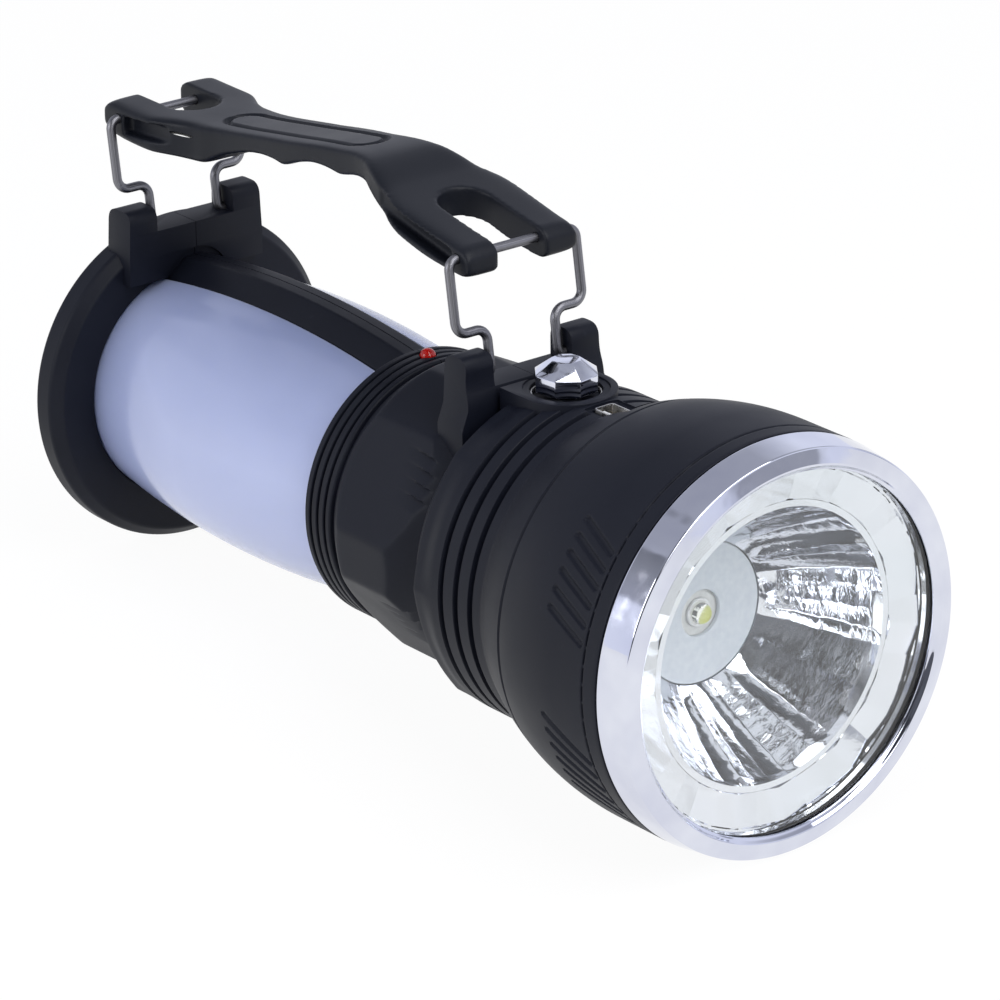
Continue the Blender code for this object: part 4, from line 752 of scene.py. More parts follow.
# %% One screw for every place
def screw_mesh(head, height, shank, length, axis, centre, flip):
    """A thread is a radius that falls and rises along x and shifts with the turn: a helix.
    Its pitch is 0.7 mm, and flip -1 points the screw the other way along its axis."""
    profile = rounded([(-height, 0.0, 0), (-height, head * 0.75, 0.3), (-height * 0.45, head, 0.3),
                       (0.0, head, 0.1), (0.0, shank, 0.1)], 3)
    thread_x = np.linspace(0.1, length - 0.5, 60)
    tip = np.array([(length, 0.0)])
    rows = np.concatenate([profile, np.stack([thread_x, np.full(60, shank)], axis=1), tip])
    turn = full_turn(24)[None]
    radius = np.broadcast_to(rows[:, 1:], (len(rows), 24)).copy()
    wave = np.abs(((thread_x[:, None] / 0.7 + turn / 360) % 1) * 2 - 1)
    radius[len(profile):-1] = shank * (0.8 + 0.2 * wave)
    points = around(rows[:, :1] * flip, radius, turn)
    order = axis_order[axis]
    mesh = net_mesh("screw", points[..., order] + np.array(centre, float))
    slots = []
    for wide, narrow in ((head * 0.55, 0.3), (0.3, head * 0.55)):
        low = np.array([-height - 1, -wide, -narrow])
        high = np.array([-height * 0.45, wide, narrow])
        corners = (box_corners(low, high) * (flip, 1, 1))[:, order] + np.array(centre, float)
        slots.append(closed_mesh("slot", corners, box_faces))
    return solid_change(mesh, slots)


# Head radius and height, shank radius and length, axis, place and way.
screw_rows = [(f"base_screw_{n + 1}", (2.8, 1.1, 1.3, 5.0, "x", (1.1, y, z), 1))
              for n, (y, z) in enumerate(cover_places)]
screw_rows += [(f"housing_screw_{n + 1}", (2.8, 1.8, 1.3, 15.0, "y", (x, 6.0, z), -1))
               for n, (x, z) in enumerate(screw_places)]
screw_rows += [(f"board_screw_{n + 1}", (2.0, 1.2, 0.9, 6.0, "z", (166.5, y, 27.2), 1))
               for n, y in enumerate((-9.5, 9.5))]
for node, row in screw_rows:
    piece(node + "_pan_head", screw_mesh(*row), nickel, "torch", node)

# %% [markdown]
# ## Head shell
#
# The head turns from a short cone to a straight run with three grooves, then flares like a bell.
# The grooves stop beside the button's platform, and slanted slots are sunk round the bell. All
# of this is one radius over x and turn. The crease where the bell starts is a good place to part
# the net, so that only the plain rear half is cut for the socket's pocket.

# %% The head's radius at rest, and its sunk details
def bell(x, off=0.0):
    """An arc from 40.5 mm at x 176 that ends level with 49.5 mm at x 212."""
    big = (36.0 ** 2 + 9.0 ** 2) / 18
    along = np.clip(x, 176.0, 212.0) - 212.0
    return 49.5 - big + np.sqrt(big ** 2 - along ** 2) + off


def soft_step(value, low, high):
    """0 up to low and 1 from high on, with 3 share^2 - 2 share^3 between."""
    share = np.clip((value - low) / (high - low), 0, 1)
    return share * share * (3 - 2 * share)


head_corners = np.array([-134, -90, -46, -1, 46, 90, 134, 181, 226], float)


def shoulder_flats(x, turn):
    """How far wide flats at the shoulder sink below the round, fading out by x = 158."""
    turn = (turn + 134) % 360 - 134
    place = np.clip(np.searchsorted(head_corners, turn, side="right") - 1, 0, len(head_corners) - 2)
    first, last = head_corners[place], head_corners[place + 1]
    span = np.radians(last - first) / 2
    sunk = 1 - np.cos(span) / np.cos(np.radians(turn) - np.radians(first + last) / 2)
    return 0.30 * 40.5 * sunk * soft_step(x, 148.0, 150.5) * (1 - soft_step(x, 153.0, 158.0))


def grooves(x, turn):
    """Three square grooves, 1.6 mm deep, that fade out beside the platform or the pocket."""
    from_top = np.abs((turn - 90 + 180) % 360 - 180)
    depth = np.zeros(np.broadcast(x, turn).shape)
    for middle, stop in ((161.1, 11.0), (166.5, 7.6), (171.9, 7.2)):
        across = 1 - soft_step(np.abs(x - middle), 0.55, 0.95)
        depth = np.maximum(depth, across * soft_step(from_top, stop, stop + 1.6))
    return 1.6 * depth


# %% Rear of the head: shoulder, grooves, platform and pocket
rear_x = runs((148.0, 159.5, 28), (159.5, 173.5, 113), (173.5, 188.6, 40))
rear_columns = 384
rear_turn = full_turn(rear_columns)[None]
outer = np.minimum(bell(rear_x), 36.9 + (rear_x - 147.6) * 1.05)[:, None]
outer = outer - shoulder_flats(rear_x[:, None], rear_turn) - grooves(rear_x[:, None], rear_turn)
start = rounded([(150.3, 31.0, 0.2), (147.3, 31.0, 0.2), (147.3, 36.6, 0.5),
                 (148.0, 37.3, 0.2)], 3)[6:18]
end = np.array([(189.0, bell(188.6) - 0.15), (189.4, bell(189.4) - 0.75),
                (189.4, bell(189.4) - 2.2), (180.0, bell(180.0) - 2.4), (173.7, 37.2),
                (150.3, 37.2), (150.3, 31.0)])
x = np.concatenate([start[:, 0], rear_x, end[:, 0]])[:, None]
radius = np.concatenate([columned(start, rear_columns), outer, columned(end, rear_columns)])
rear_mesh = net_mesh("head_rear", around(x, radius, rear_turn), 24.0)
cutters = [
    softened(box_mesh("pocket", (169.7, -5.05, 39.4), (185.7, 5.05, 60.0)), 0.4),
    box_mesh("slot", (170.2, -3.15, 26.0), (183.8, 3.15, 60.0)),
    rod_mesh("well", (button_x, 0, 20.0), (button_x, 0, 60.0), 8.9, 64),
]
piece("head_rear", shaded(solid_change(rear_mesh, cutters), 28), black_abs, "torch", "head_shell")

# %% Platform under the button
deck = arc((button_x, 0), 12.0, np.linspace(-90, 90, 49))
deck = np.concatenate([deck, [(147.6, 12.0), (147.6, -12.0)]])
deck_mesh = solid_change(prism_mesh("deck", deck, 2, 35.5, 40.85), [
    prism_mesh("ledge", arc((button_x, 0), 10.2, full_turn(96)), 2, 40.45, 42),
    rod_mesh("well", (button_x, 0, 38.6), (button_x, 0, 44), 8.5, 96),
    rod_mesh("guide", (button_x, 0, 30), (button_x, 0, 44), 2.8),
])
piece("platform", softened(deck_mesh, 0.35), black_abs, "torch", "head_shell")

# %% Bell with slots and dashes
# Turn and x where each slot starts, then turn and x where it ends. A degree is 0.86 mm there.
mm_per_degree = 0.86
slot_rows = [(first, 209.0, first - 5.6, 221.0) for first in (43.0, 38.2, 33.4, 28.3, 23.2, 18.3)]
slot_rows += [(first, 208.2, first - 9.6, 221.6)
              for first in (-12.0, -16.8, -21.8, -26.7, -31.6, -36.5)]
slot_rows += [(180 - a, b, 180 - c, d) for a, b, c, d in slot_rows]


def slots(x, turn):
    """Each slot is a capsule on the unrolled bell: 0.55 mm deep up to 0.4 mm from a straight line,
    then fading out to 1 mm from it."""
    depth = np.zeros(np.broadcast(x, turn).shape)
    for first, start_x, last, end_x in slot_rows:
        from_start = ((turn - first + 180) % 360 - 180) * mm_per_degree
        rise = (last - first) * mm_per_degree
        run = end_x - start_x
        share = np.clip(((x - start_x) * run + from_start * rise) / (run ** 2 + rise ** 2), 0, 1)
        away = np.hypot(x - start_x - share * run, from_start - share * rise)
        depth = np.maximum(depth, 1 - soft_step(away, 0.4, 1.0))
    return 0.55 * depth


def dashes(x, turn):
    """A narrow groove round the bell at x 222.9, a third as deep once every 5 degrees."""
    across = 1 - soft_step(np.abs(x - 222.9), 0.18, 0.42)
    broken = soft_step(np.abs((turn / 5.0) % 1 - 0.5), 0.06, 0.14)
    return 0.55 * across * (0.35 + 0.65 * broken)


bell_turn = np.unique(np.concatenate([
    np.arange(-60, 48, 0.375), np.arange(48, 132, 1.5), np.arange(132, 240, 0.375),
    np.arange(240, 300, 1.5),
]))[None]
front_x = runs((190.0, 206.5, 24), (206.5, 221.8, 42), (221.8, 224.0, 10), (224.0, 226.9, 5))
outer = bell(front_x)[:, None] - slots(front_x[:, None], bell_turn)
outer = outer - dashes(front_x[:, None], bell_turn)
start = np.array([(189.4, bell(189.4) - 2.2), (189.4, bell(189.4) - 0.75),
                  (189.65, bell(189.65) - 0.25)])
end = rounded([(226.9, 49.5, 0.2), (227.5, 49.4, 0.3), (227.5, 46.55, 0.2), (231.0, 46.55, 0.3),
               (231.0, 44.4, 0.2), (225.3, 44.4, 0.5), (212.0, 44.4, 2.0),
               (189.4, 41.0, 0.2)], 3)[6:]
columns = bell_turn.shape[1]
x = np.concatenate([start[:, 0], front_x, end[:, 0]])[:, None]
radius = np.concatenate([columned(start, columns), outer, columned(end, columns)])
bell_mesh = net_mesh("bell", around(x, radius, bell_turn), 24.0)
piece("head_bell", bell_mesh, black_abs, "torch", "head_shell")

# %% [markdown]
# ## Button and socket
#
# The push button is cut like a stone: eight wide facets slope up to a small flat top, and eight
# upright ones stand below their edge. Each ring of corners is an octagon, so a net of eight
# columns has one flat face to each facet. A small bevel makes the facets' edges glint.

# %% Faceted button
facet_count = 8
corner_turn = np.radians(full_turn(facet_count) - 14)
octagon = np.stack([np.cos(corner_turn), np.sin(corner_turn)], axis=1)
levels = [(2.5, 34.4), (2.5, 40.5), (7.5, 40.5), (7.72, 40.8), (7.75, 44.7), (3.5, 47.8)]
rings = np.stack([np.column_stack([radius * octagon + (button_x, 0), np.full(facet_count, z)])
                  for radius, z in levels])
button_mesh = softened(capped_mesh("button", rings, 12.0), 0.16, 2, 14.0, 14.0)
piece("button_cut_cap", button_mesh, button_chrome, "button", "button_cap")

button_ring = rounded([(38.9, 7.9, 0.1), (38.9, 8.4, 0.1), (39.8, 8.4, 0.2), (39.8, 7.9, 0.2)], 4)
piece("button_foot_ring", turned_mesh("ring", button_ring, 96, "z", (button_x, 0, 0)), nickel,
      "torch", "button_ring")


# %% [markdown]
# The socket stands upright, so its mouth faces up: a folded steel shell round a plastic tongue
# with four brass contacts. A rounded box outline is swept up the outside and down the inside.

# %% USB-A socket
def box_outline(long, wide, corner, steps=6):
    """A rectangle with round corners, as (x, y) points."""
    a, b = long / 2, wide / 2
    return rounded([(-a, -b, corner), (a, -b, corner), (a, b, corner), (-a, b, corner)], steps)


def sleeve_mesh(name, centre, levels):
    """Rings of a closed sleeve: (long, wide, corner, height) rows, the last joined to the first."""
    rings = [np.column_stack([box_outline(a, b, c), np.full(36, z)]) for a, b, c, z in levels]
    points = np.stack(rings) + np.array([centre[0], centre[1], 0.0])
    return net_mesh(name, points)


shell_mesh = sleeve_mesh("shell", (socket_x, 0.0), [
    (13.0, 5.7, 0.9, 29.4), (13.0, 5.7, 0.9, 40.05), (12.85, 5.55, 0.9, 40.2),
    (12.3, 5.0, 0.6, 40.2), (12.2, 4.9, 0.55, 40.05), (12.2, 4.9, 0.55, 29.4),
])
windows = [box_mesh("window", (socket_x + a - 0.8, -4, 32.2), (socket_x + a + 0.8, 4, 36.2))
           for a in (-2.6, 2.6)]
piece("usb_steel_shell", solid_change(shell_mesh, windows), nickel, "torch", "usb_shell")
tongue = box_mesh("tongue", (171.4, -2.05, 31.0), (182.6, -0.3, 39.2))
base = box_mesh("base", (171.2, -2.1, 30.1), (182.8, 2.1, 32.6))
piece("usb_plastic_tongue", softened(solid_change(base, [tongue], "UNION"), 0.15), white_plastic,
      "torch", "usb_tongue")
for place, x in enumerate((173.5, 175.75, 178.25, 180.5)):
    strip = box_mesh("strip", (x - 0.5, -0.35, 32.7), (x + 0.5, -0.05, 38.9))
    piece(f"usb_contact_{place + 1}", softened(strip, 0.08, 2), brass, "torch", "usb_tongue")

# %% [markdown]
# ## Bezel, lens and bowl
#
# The bezel's band meets its face in a crisp edge, and a small lip holds the lens. The bowl
# behind it is a parabola, which throws the lamp's light forward. It is pressed in long wedges:
# their corners stand at uneven turns and heights, so each wedge tilts its own way. 36 flat
# mirrors ring its rim, and the corners between them stand at uneven heights too.

# %% Bezel, lens and gasket
bezel_outline = rounded([
    (227.8, 47.0, 0.2), (227.8, 49.2, 0.3), (228.2, 49.5, 0.3), (236.15, 48.45, 0.35),
    (237.15, 44.4, 0.4), (236.3, 43.7, 0.25), (235.9, 43.1, 0.2), (235.5, 43.1, 0.15),
    (235.5, 47.0, 0.2),
], 6)
piece("bezel_ring", turned_mesh("bezel", bezel_outline, 256), chrome, "torch", "bezel")
lens_outline = rounded([(233.7, 0.0, 0), (233.7, 46.25, 0.15), (235.2, 46.25, 0.15),
                        (235.2, 0.0, 0)])
piece("lens_disc", turned_mesh("lens", lens_outline, 192), lens_clear, "torch", "lens")
gasket_outline = rounded([(232.6, 44.5, 0.3), (232.6, 46.3, 0.3), (233.4, 46.3, 0.3),
                          (233.4, 44.5, 0.3)])
piece("gasket_ring", turned_mesh("gasket", gasket_outline, 128), rubber, "torch", "lens_gasket")

# %% Parabolic bowl
bowl_share = np.linspace(0, 1, 90)
bowl_count, bowl_columns = len(bowl_share), 720


def parabola(share, off=0.0):
    """Rows (x, radius) whose squared radius grows evenly from 17.3 mm to 32.9 mm over 25 mm."""
    radius = np.sqrt(17.3 ** 2 + (32.9 ** 2 - 17.3 ** 2) * share)
    return np.stack([204.5 + 25.0 * share, radius + off], 1)


bowl_rows = np.concatenate([
    parabola(bowl_share), [(229.5, 33.2), (229.5, 34.45), (228.0, 34.45)],
    parabola(np.linspace(0.95, 0, 12), 1.2), [(201.6, 18.5), (201.6, 17.3)],
])
bowl_turn = full_turn(bowl_columns)[None]
radius = columned(bowl_rows, bowl_columns).copy()
steps = np.arange(44)
golden = 0.618
knot_turn = np.cumsum(6.0 + 5.0 * ((steps * golden) % 1))
knot_turn = np.concatenate([[0.0], knot_turn * 360 / knot_turn[-1]])
knot_height = 0.9 * np.sin(steps * 2.6 + 1.5 * np.sin(steps * 1.1))
knot_height = np.concatenate([knot_height, knot_height[:1]])
along = bowl_share[:, None]
ragged = 0.3 * np.sin(19 * along + 0.05 * bowl_turn) + 0.1 * np.sin(47 * along + 0.11 * bowl_turn)
wedge = np.interp((bowl_turn + ragged) % 360, knot_turn, knot_height)
wedge = wedge * radius[:bowl_count] / 33 * np.clip(along * 8, 0, 1)
radius[:bowl_count] += wedge * np.clip((1 - along) * 14, 0, 1)
bowl_mesh = net_mesh("bowl", around(bowl_rows[:, :1], radius, bowl_turn), 14.0)
piece("mirror_bowl", bowl_mesh, bowl_mirror, "torch", "reflector")

# %% Ring of 36 flat mirrors
mirror_count, per_mirror = 36, 7
mirror_turn, first_middle = 360 / mirror_count, 2.5
within = np.linspace(-4.96, 4.96, per_mirror)
middles = full_turn(mirror_count)[:, None] + first_middle
ring_turn = (middles + within).reshape(1, -1)
off = np.tile(within, mirror_count)[None]
border = 0.5 * np.sin(np.arange(mirror_count + 1) % mirror_count * 2.4)
border_turn = first_middle + mirror_turn * (np.arange(mirror_count + 1) - 0.5)
lean = np.interp(ring_turn, border_turn, border)
flat_rows = np.array([(229.5, 34.5), (229.62, 34.75), (231.2, 42.3), (231.3, 42.5), (231.4, 43.0),
                      (232.3, 43.5), (232.3, 46.3), (231.3, 46.3), (231.3, 44.1), (228.0, 36.0),
                      (228.0, 34.5)])
flattened = np.array([0, 1, 1, 0, 0, 0, 0, 0, 0, 0, 0], float)[:, None]
round_radius = flat_rows[:, 1:]
flat_radius = round_radius * math.cos(math.radians(mirror_turn / 2)) / np.cos(np.radians(off))
radius = round_radius * (1 - flattened) + flat_radius * flattened
x = flat_rows[:, :1] + flattened * lean
mirror_mesh = net_mesh("mirrors", around(x, radius, ring_turn), 3.0)
piece("mirror_ring", mirror_mesh, ring_mirror, "torch", "reflector")

# %% Lamp disc, package, phosphor and dome
disc_outline = rounded([(203.3, 5.6, 0.1), (203.3, 17.0, 0.1), (204.45, 17.0, 0.3),
                        (204.45, 5.6, 0.3)])
piece("lamp_disc", turned_mesh("disc", disc_outline, 128), disc_plastic, "torch", "led_disc")
package = rounded([(203.3, 0.0, 0), (203.3, 3.4, 0.1), (204.0, 3.4, 0.2), (204.0, 2.75, 0.1),
                   (203.8, 2.6, 0.1), (203.8, 0.0, 0)])
piece("lamp_package", turned_mesh("package", package, 64), white_plastic, "torch", "led_emitter")
glow = rounded([(203.85, 0.0, 0), (203.85, 2.0, 0.1), (204.3, 2.0, 0.1), (204.3, 0.0, 0)])
piece("lamp_phosphor", turned_mesh("glow", glow, 48), phosphor, "torch", "led_emitter")
cap_rows = np.concatenate([[(204.35, 0.0), (204.35, 2.55)], dome(204.4, 2.55, 16)])
piece("lamp_dome", turned_mesh("dome", cap_rows, 64), silicone, "torch", "led_emitter")
for place in range(3):
    turn = math.radians(90 + 120 * place)
    y, z = -21.2 * math.cos(turn), 21.2 * math.sin(turn)
    node = f"heat_sink_screw_{place + 1}"
    screw = screw_mesh(2.0, 1.2, 0.9, 4.0, "x", (191.9, y, z), -1)
    piece(node + "_pan_head", screw, nickel, "torch", node)

# %% [markdown]
# ## Bails
#
# Each bail is one length of wire, bent in one plane. The path is straight runs and quarter
# arcs, and a circle is carried along it. Its map runs along the wire, so drawing marks do too.

# %% Bent wire
def wire_path(corners, bends, steps=10):
    """Quarter arcs at right-angled corners: centre - on R cos t - back R sin t."""
    corners = np.array(corners, float)
    back = corners[:-2] - corners[1:-1]
    on = corners[2:] - corners[1:-1]
    back /= np.linalg.norm(back, axis=1, keepdims=True)
    on /= np.linalg.norm(on, axis=1, keepdims=True)
    bends = np.array(bends, float)[:, None]
    centre = corners[1:-1] + (back + on) * bends
    t = np.linspace(0, math.pi / 2, steps)[None, :, None]
    arcs = centre[:, None] - bends[:, None] * (on[:, None] * np.cos(t) + back[:, None] * np.sin(t))
    return np.concatenate([corners[:1], arcs.reshape(-1, 2), corners[-1:]])


def bail_mesh(name, pivot_x):
    """Circles of radius 1.15 mm square to the path, with rounded ends; the wire's plane leans back
    9 degrees over the pivot."""
    half = [(17.4, 0.0), (10.0, 0.0), (10.0, 10.6), (18.7, 10.6), (18.7, 28.3)]
    bends = [1.5, 3.0, 3.0, 2.4]
    path = wire_path([(-y, z) for y, z in half] + half[::-1], bends + bends[::-1])
    lean = math.radians(9)
    across, along = np.array([0.0, 1.0, 0.0]), np.array([-math.sin(lean), 0.0, math.cos(lean)])
    points = np.array([pivot_x, 0.0, pivot_z]) + path[:, :1] * across + path[:, 1:] * along
    first, last = (way / np.linalg.norm(way)
                   for way in (points[0] - points[1], points[-1] - points[-2]))
    points = np.concatenate([[points[0] + first * 0.1, points[0] + first * 0.09], points,
                             [points[-1] + last * 0.09, points[-1] + last * 0.1]])
    radius = np.full((len(points), 1, 1), 1.15)
    radius[[0, 1, -2, -1], 0, 0] = (0.0, 0.95, 0.95, 0.0)
    heading = np.gradient(points, axis=0)
    heading /= np.linalg.norm(heading, axis=1, keepdims=True)
    normal = np.cross(across, along)
    side = np.cross(heading, normal)
    turn = np.radians(full_turn(28))[None, :, None]
    tube = points[:, None] + radius * (np.cos(turn) * normal + np.sin(turn) * side[:, None])
    faces, flat = net_faces(len(points), 28, False, True)
    return closed_mesh(name, tube, faces, flat, 50.0)


piece("rear_bail_wire", bail_mesh("rear_bail", rear_pivot), spring_wire, "rear_bail", "rear_bail")
piece("front_bail_wire", bail_mesh("front_bail", front_pivot), spring_wire, "front_bail",
      "front_bail")

# %% [markdown]
# ## Handle
#
# The grip is one moulding: a fork at each end, a narrow waist, three soft finger waves below and
# a sunk outline on top. Its edges are round everywhere, also where the forks branch, which a
# plain sweep can't give. So the swept body is forked with Booleans, then rebuilt on a grid of
# small cubes and smoothed: that melts every edge alike.

# %% Curves that shape the handle
def eased(table, place):
    """Cubic pieces through the table's points; each slope is that between its neighbours."""
    at, value = np.array(table, float).T
    slope = np.empty_like(value)
    slope[1:-1] = (value[2:] - value[:-2]) / (at[2:] - at[:-2])
    slope[0] = (value[1] - value[0]) / (at[1] - at[0])
    slope[-1] = (value[-1] - value[-2]) / (at[-1] - at[-2])
    spot = np.clip(np.searchsorted(at, place, side="right") - 1, 0, len(at) - 2)
    span = at[spot + 1] - at[spot]
    t = (place - at[spot]) / span
    return (value[spot] * (2 * t ** 3 - 3 * t ** 2 + 1)
            + slope[spot] * span * (t ** 3 - 2 * t ** 2 + t)
            + value[spot + 1] * (3 * t ** 2 - 2 * t ** 3)
            + slope[spot + 1] * span * (t ** 3 - t ** 2))


top_table = ((-4.0, 74.1), (15.2, 73.8), (34.5, 74.7), (59.7, 78.2), (79.0, 81.1),
             (95.3, 82.6), (108.6, 79.0), (123.4, 75.9), (133.8, 74.0), (144.2, 72.5))
thick_table = ((-4.0, 8.4), (3.6, 9.2), (16.0, 9.5), (24.0, 10.0), (28.6, 10.1), (30.4, 9.7),
               (32.5, 8.7), (35.5, 7.4), (38.7, 6.5), (45.0, 5.3), (50.0, 5.0), (54.5, 5.3),
               (57.8, 5.9), (60.6, 6.7), (62.0, 6.6), (64.4, 6.0), (67.6, 5.4), (72.5, 5.0),
               (76.8, 5.4), (80.0, 6.0), (83.0, 6.8), (84.6, 6.8), (89.0, 6.3), (94.0, 6.2),
               (100.0, 6.8), (108.0, 7.0), (116.0, 7.4), (126.4, 7.9), (144.2, 7.3))
width_table = ((-4.0, 16.2), (12.6, 16.2), (15.6, 15.8), (18.9, 14.3), (22.1, 12.7), (26.2, 11.4),
               (30.0, 10.9), (36.7, 10.0), (46.7, 9.5), (65.7, 9.6), (79.0, 9.3), (88.9, 9.35),
               (94.6, 10.2), (98.8, 11.8), (103.2, 13.2), (107.7, 14.3), (111.3, 15.8),
               (116.0, 16.9), (122.4, 17.0), (128.8, 16.8), (135.4, 16.4), (144.2, 16.2))
wire_x = (2.57, 137.57)
wire_z = 70.45
grip_start, grip_end, solid_end = -4.03, 141.6, 144.17


def grip_section(x):
    """Top, underside and half width in mm at x; the ends close by a quarter circle."""
    top, thick = eased(top_table, x), eased(thick_table, x)
    inset = np.clip(3.6 - np.minimum(x - grip_start, grip_end - x), 0, 3.6) / 3.6
    squeeze = thick * (1 - np.sqrt(1 - (0.9 * inset) ** 2)) / 2
    return top - squeeze, top - thick + squeeze, eased(width_table, x)


# %% Sweep, fork and melt
stations = runs((grip_start, 0.5, 14), (0.5, 137.0, 180), (137.0, grip_end, 14))
top, under, half = (value[:, None] for value in grip_section(stations))
turn = np.radians(full_turn(72) + 2.5)[None]
power = 0.24
y = half * np.sign(np.cos(turn)) * np.abs(np.cos(turn)) ** power
z = (top + under) / 2 + (top - under) / 2 * np.sign(np.sin(turn)) * np.abs(np.sin(turn)) ** power
x = np.broadcast_to(stations[:, None], y.shape)
grip = capped_mesh("grip", np.stack([x, y, z], axis=-1))


def fork_outline(outer, centre, half_width, way):
    """A slot that is open at the grip's end and round at its floor."""
    floor = arc((centre, 0), half_width, np.linspace(-90, 90, 25) + (0 if way > 0 else 180))
    return np.concatenate([floor, [(outer, way * half_width), (outer, -way * half_width)]])


forks = [
    prism_mesh("fork", fork_outline(-8.0, grip_start + 22.5 - 7.0, 7.0, 1), 2, 55, 90),
    prism_mesh("fork", fork_outline(148.0, solid_end - 30.0 + 7.0, 7.0, -1), 2, 55, 90),
]
for wire, way in zip(wire_x, (1, -1)):
    reach = wire + way * np.array([2.0, 32.0])
    high, low = grip_section(reach)[:2]
    for side in (-1, 1):
        corners = np.array([(x, y, z + rise) for x, z in zip(reach, (high + low) / 2)
                            for y in sorted((side * 13.3, side * 19.0)) for rise in (-2.2, 2.2)])
        forks.append(closed_mesh("channel", corners, box_faces))
work = linked("work", solid_change(grip, forks))
melt = work.modifiers.new("melt", "REMESH")
melt.mode = "VOXEL"
melt.voxel_size = 0.45 * mm
smooth = work.modifiers.new("smooth", "SMOOTH")
smooth.factor = 0.5
smooth.iterations = 8
grip = settled(work)

# %% Sink the outline on top, bore the wire holes and cut the slit
count = len(grip.vertices)
points, normals = np.empty(count * 3), np.empty(count * 3)
grip.vertices.foreach_get("co", points)
grip.vertices.foreach_get("normal", normals)
points, normals = points.reshape(-1, 3), normals.reshape(-1, 3)
spot = points / mm
straight = np.clip(spot[:, 0], 34.8, 82.0)
away = np.hypot(spot[:, 0] - straight, spot[:, 1]) - 5.0
sunk = 1 - soft_step(np.abs(away), 0.3, 1.1)
points[:, 2] -= sunk * soft_step(normals[:, 2], 0.5, 0.8) * mm
grip.vertices.foreach_set("co", points.ravel())
grip.update()
bores = [rod_mesh("bore", (wire, -20, wire_z), (wire, 20, wire_z), 1.3, 32) for wire in wire_x]
across = np.linspace(-1, 1, 13)[:, None]
sliver = 3.6 * across * np.array([0.94, 0.34, -0.04])
rise = 0.42 * np.sqrt(1 - across ** 2) * np.array([0.0, 0.0, 1.0])
sliver = np.concatenate([sliver - rise, (sliver + rise)[-2:0:-1]]) + (23.6, -12.3, 70.8)
through = np.array([-0.73, 0.57, -0.37])
sliver = np.stack([sliver - 6 * through, sliver + 17 * through])
bores.append(capped_mesh("slit", sliver))
piece("handle_grip", shaded(solid_change(grip, bores), 50), handle_abs, "handle", "handle")

# %% [markdown]
# ## What stays from the solid model
#
# Cells, boards and plates inside are simple blocks on the real product too. Their solids stay
# and only get their finishes.

# %% Finishes for the inner parts
inner_finishes = {
    "battery_tray": tray_plastic, "battery_cell_upper": cell_wrap, "battery_cell_lower": cell_wrap,
    "contact_front": nickel, "contact_rear": nickel, "charge_board": board_green,
    "light_plate_left": white_plastic, "light_plate_right": white_plastic,
    "lantern_board_left": white_plastic, "lantern_board_right": white_plastic,
    "control_board": board_green, "tact_switch": rubber, "switch_plunger": white_plastic,
    "heat_sink": turned_aluminium, "led_board": board_white,
}
for node, surface in inner_finishes.items():
    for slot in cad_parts[node].material_slots:
        slot.material = surface
print(len(inner_finishes), "inner parts finished")

# %% [markdown]
# ## Floor, light and camera
#
# The lamp rests on the rims of its base and its bezel, so the floor is a plane through both,
# tilted by under 2 degrees. The studio is a white tent with an overhead panel and a small front
# one. The tent is dark where the camera stands, and has greyer gaps that the chrome can show.

# %% Floor
tilt = -7.3 / 229.0
floor_x = np.array([-3000.0, 3000.0])
floor_z = -42.25 + (floor_x - 6.0) * tilt
corners = np.array([(x, y, z) for x, z in zip(floor_x, floor_z) for y in (-3000.0, 3000.0)])
floor_mesh = bpy.data.meshes.new("floor")
floor_mesh.from_pydata(corners * mm, [], [[0, 2, 3, 1]])
paper, shader = finish("white_sweep_paper", "F4F4F5", Roughness=0.9)
path = add(paper, "LightPath").node.outputs
white = add(paper, "Emission", {"Color": "FFFFFF", "Strength": 1.02})
seen = add(paper, "Math", [path["Is Camera Ray"], path["Is Glossy Ray"]], operation="MAXIMUM")
share = add(paper, "Math", [seen, 0.93], operation="MULTIPLY")
mix = add(paper, "MixShader", [share, shader.outputs[0], white])
fill(paper.node_tree.nodes["Material Output"], {"Surface": mix})
floor_mesh.materials.append(paper)
linked("floor", floor_mesh)

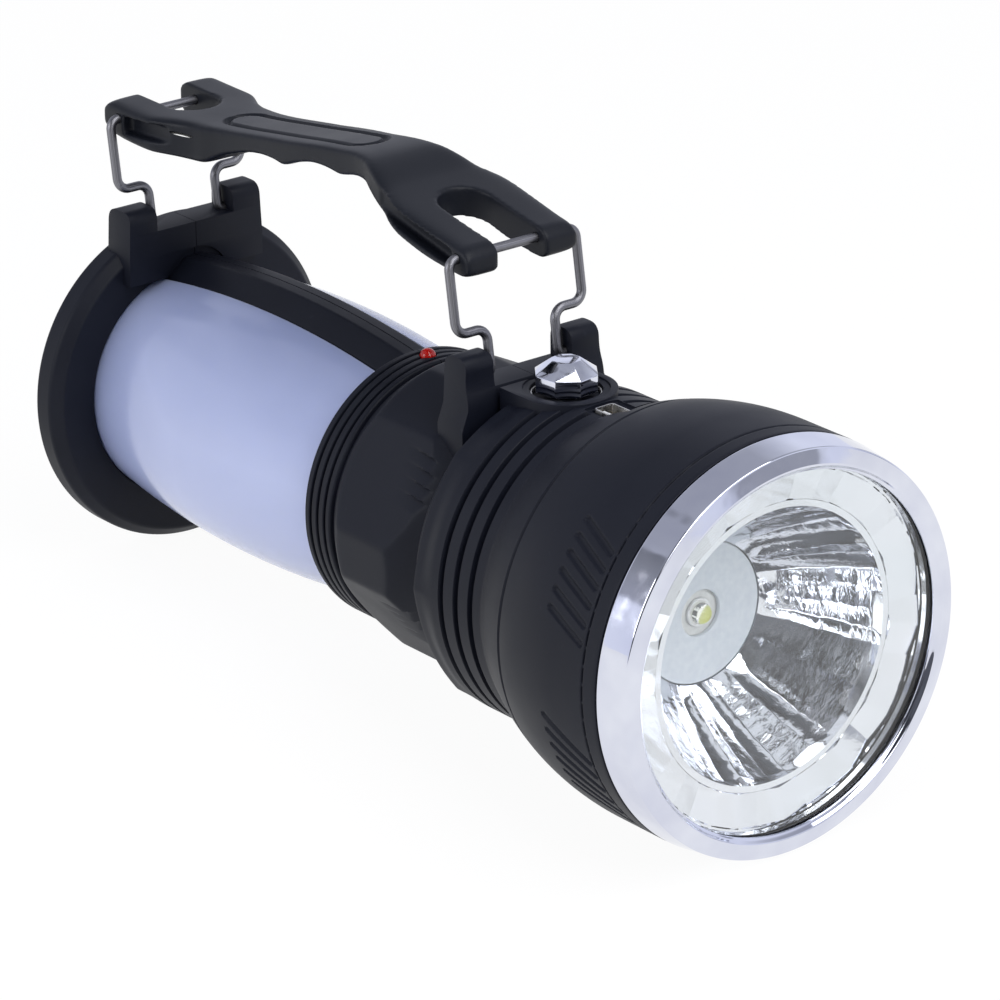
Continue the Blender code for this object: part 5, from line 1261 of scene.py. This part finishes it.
# %% Tent and lamps
world = bpy.data.worlds.new("tent")
bpy.context.scene.world = world
world.use_nodes = True
way = add(world, "TexCoord", out="Generated")
up = add(world, "MapRange", [add(world, "SeparateXYZ", [way], "Z"), 0.42, 0.7, 1.0, 0.5])
front = add(world, "VectorMath", [way, (0.73, -0.57, 0.37)], "Value", operation="DOT_PRODUCT")
dim = add(world, "MapRange", [front, 0.58, 0.76, 1.0, 0.13])
sheets = add(world, "TexNoise", {"Vector": way, "Scale": 2.6, "Detail": 1.0})
gaps = add(world, "MapRange", [sheets, 0.56, 0.60, 1.0, 0.45])
level = add(world, "Math", [up, dim], operation="MULTIPLY")
level = add(world, "Math", [level, gaps], operation="MULTIPLY")
seen = add(world, "LightPath", out="Is Camera Ray")
tone = add(world, "Mix", {0: seen, 2: level, 3: 1.17}, data_type="FLOAT")
fill(world.node_tree.nodes["Background"], {"Color": "EEF1FF", "Strength": tone})


def panel(name, place, aim, long, wide, watts):
    """An area lamp that faces the point it is aimed at."""
    data = bpy.data.lights.new(name, "AREA")
    data.shape = "RECTANGLE"
    data.size, data.size_y, data.energy = long, wide, watts
    made = linked(name, data)
    made.location = place
    heading = Vector(aim) - Vector(place)
    made.rotation_euler = heading.to_track_quat("-Z", "Y").to_euler()


panel("overhead", (0.62, 0.05, 0.9), (0.12, 0.0, 0.0), 0.8, 0.6, 5.0)
panel("front", (0.95, -0.1, 0.5), (0.23, 0.0, 0.0), 0.45, 0.45, 2.5)
panel("side", (0.0, -1.1, 0.5), (0.08, 0.0, 0.0), 0.8, 0.6, 4.4)

# %% Camera, fitted to the circles of the bezel, the bowl and the base
lens = bpy.data.cameras.new("camera")
lens.sensor_width = 36.0
lens.lens = 206.33
lens.clip_start, lens.clip_end = 0.05, 50.0
camera = linked("camera", lens)
right = Vector((0.62239738, 0.78264399, -0.0094809))
over = Vector((-0.28645228, 0.23904035, 0.92779567))
ahead = Vector((-0.72840002, 0.57474177, -0.37296824))
turn = Matrix((right, over, -ahead)).transposed().to_4x4()
camera.matrix_world = Matrix.Translation((1.115154, -0.775639, 0.508423)) @ turn
bpy.context.scene.camera = camera
bpy.context.scene.view_settings.view_transform = "Standard"
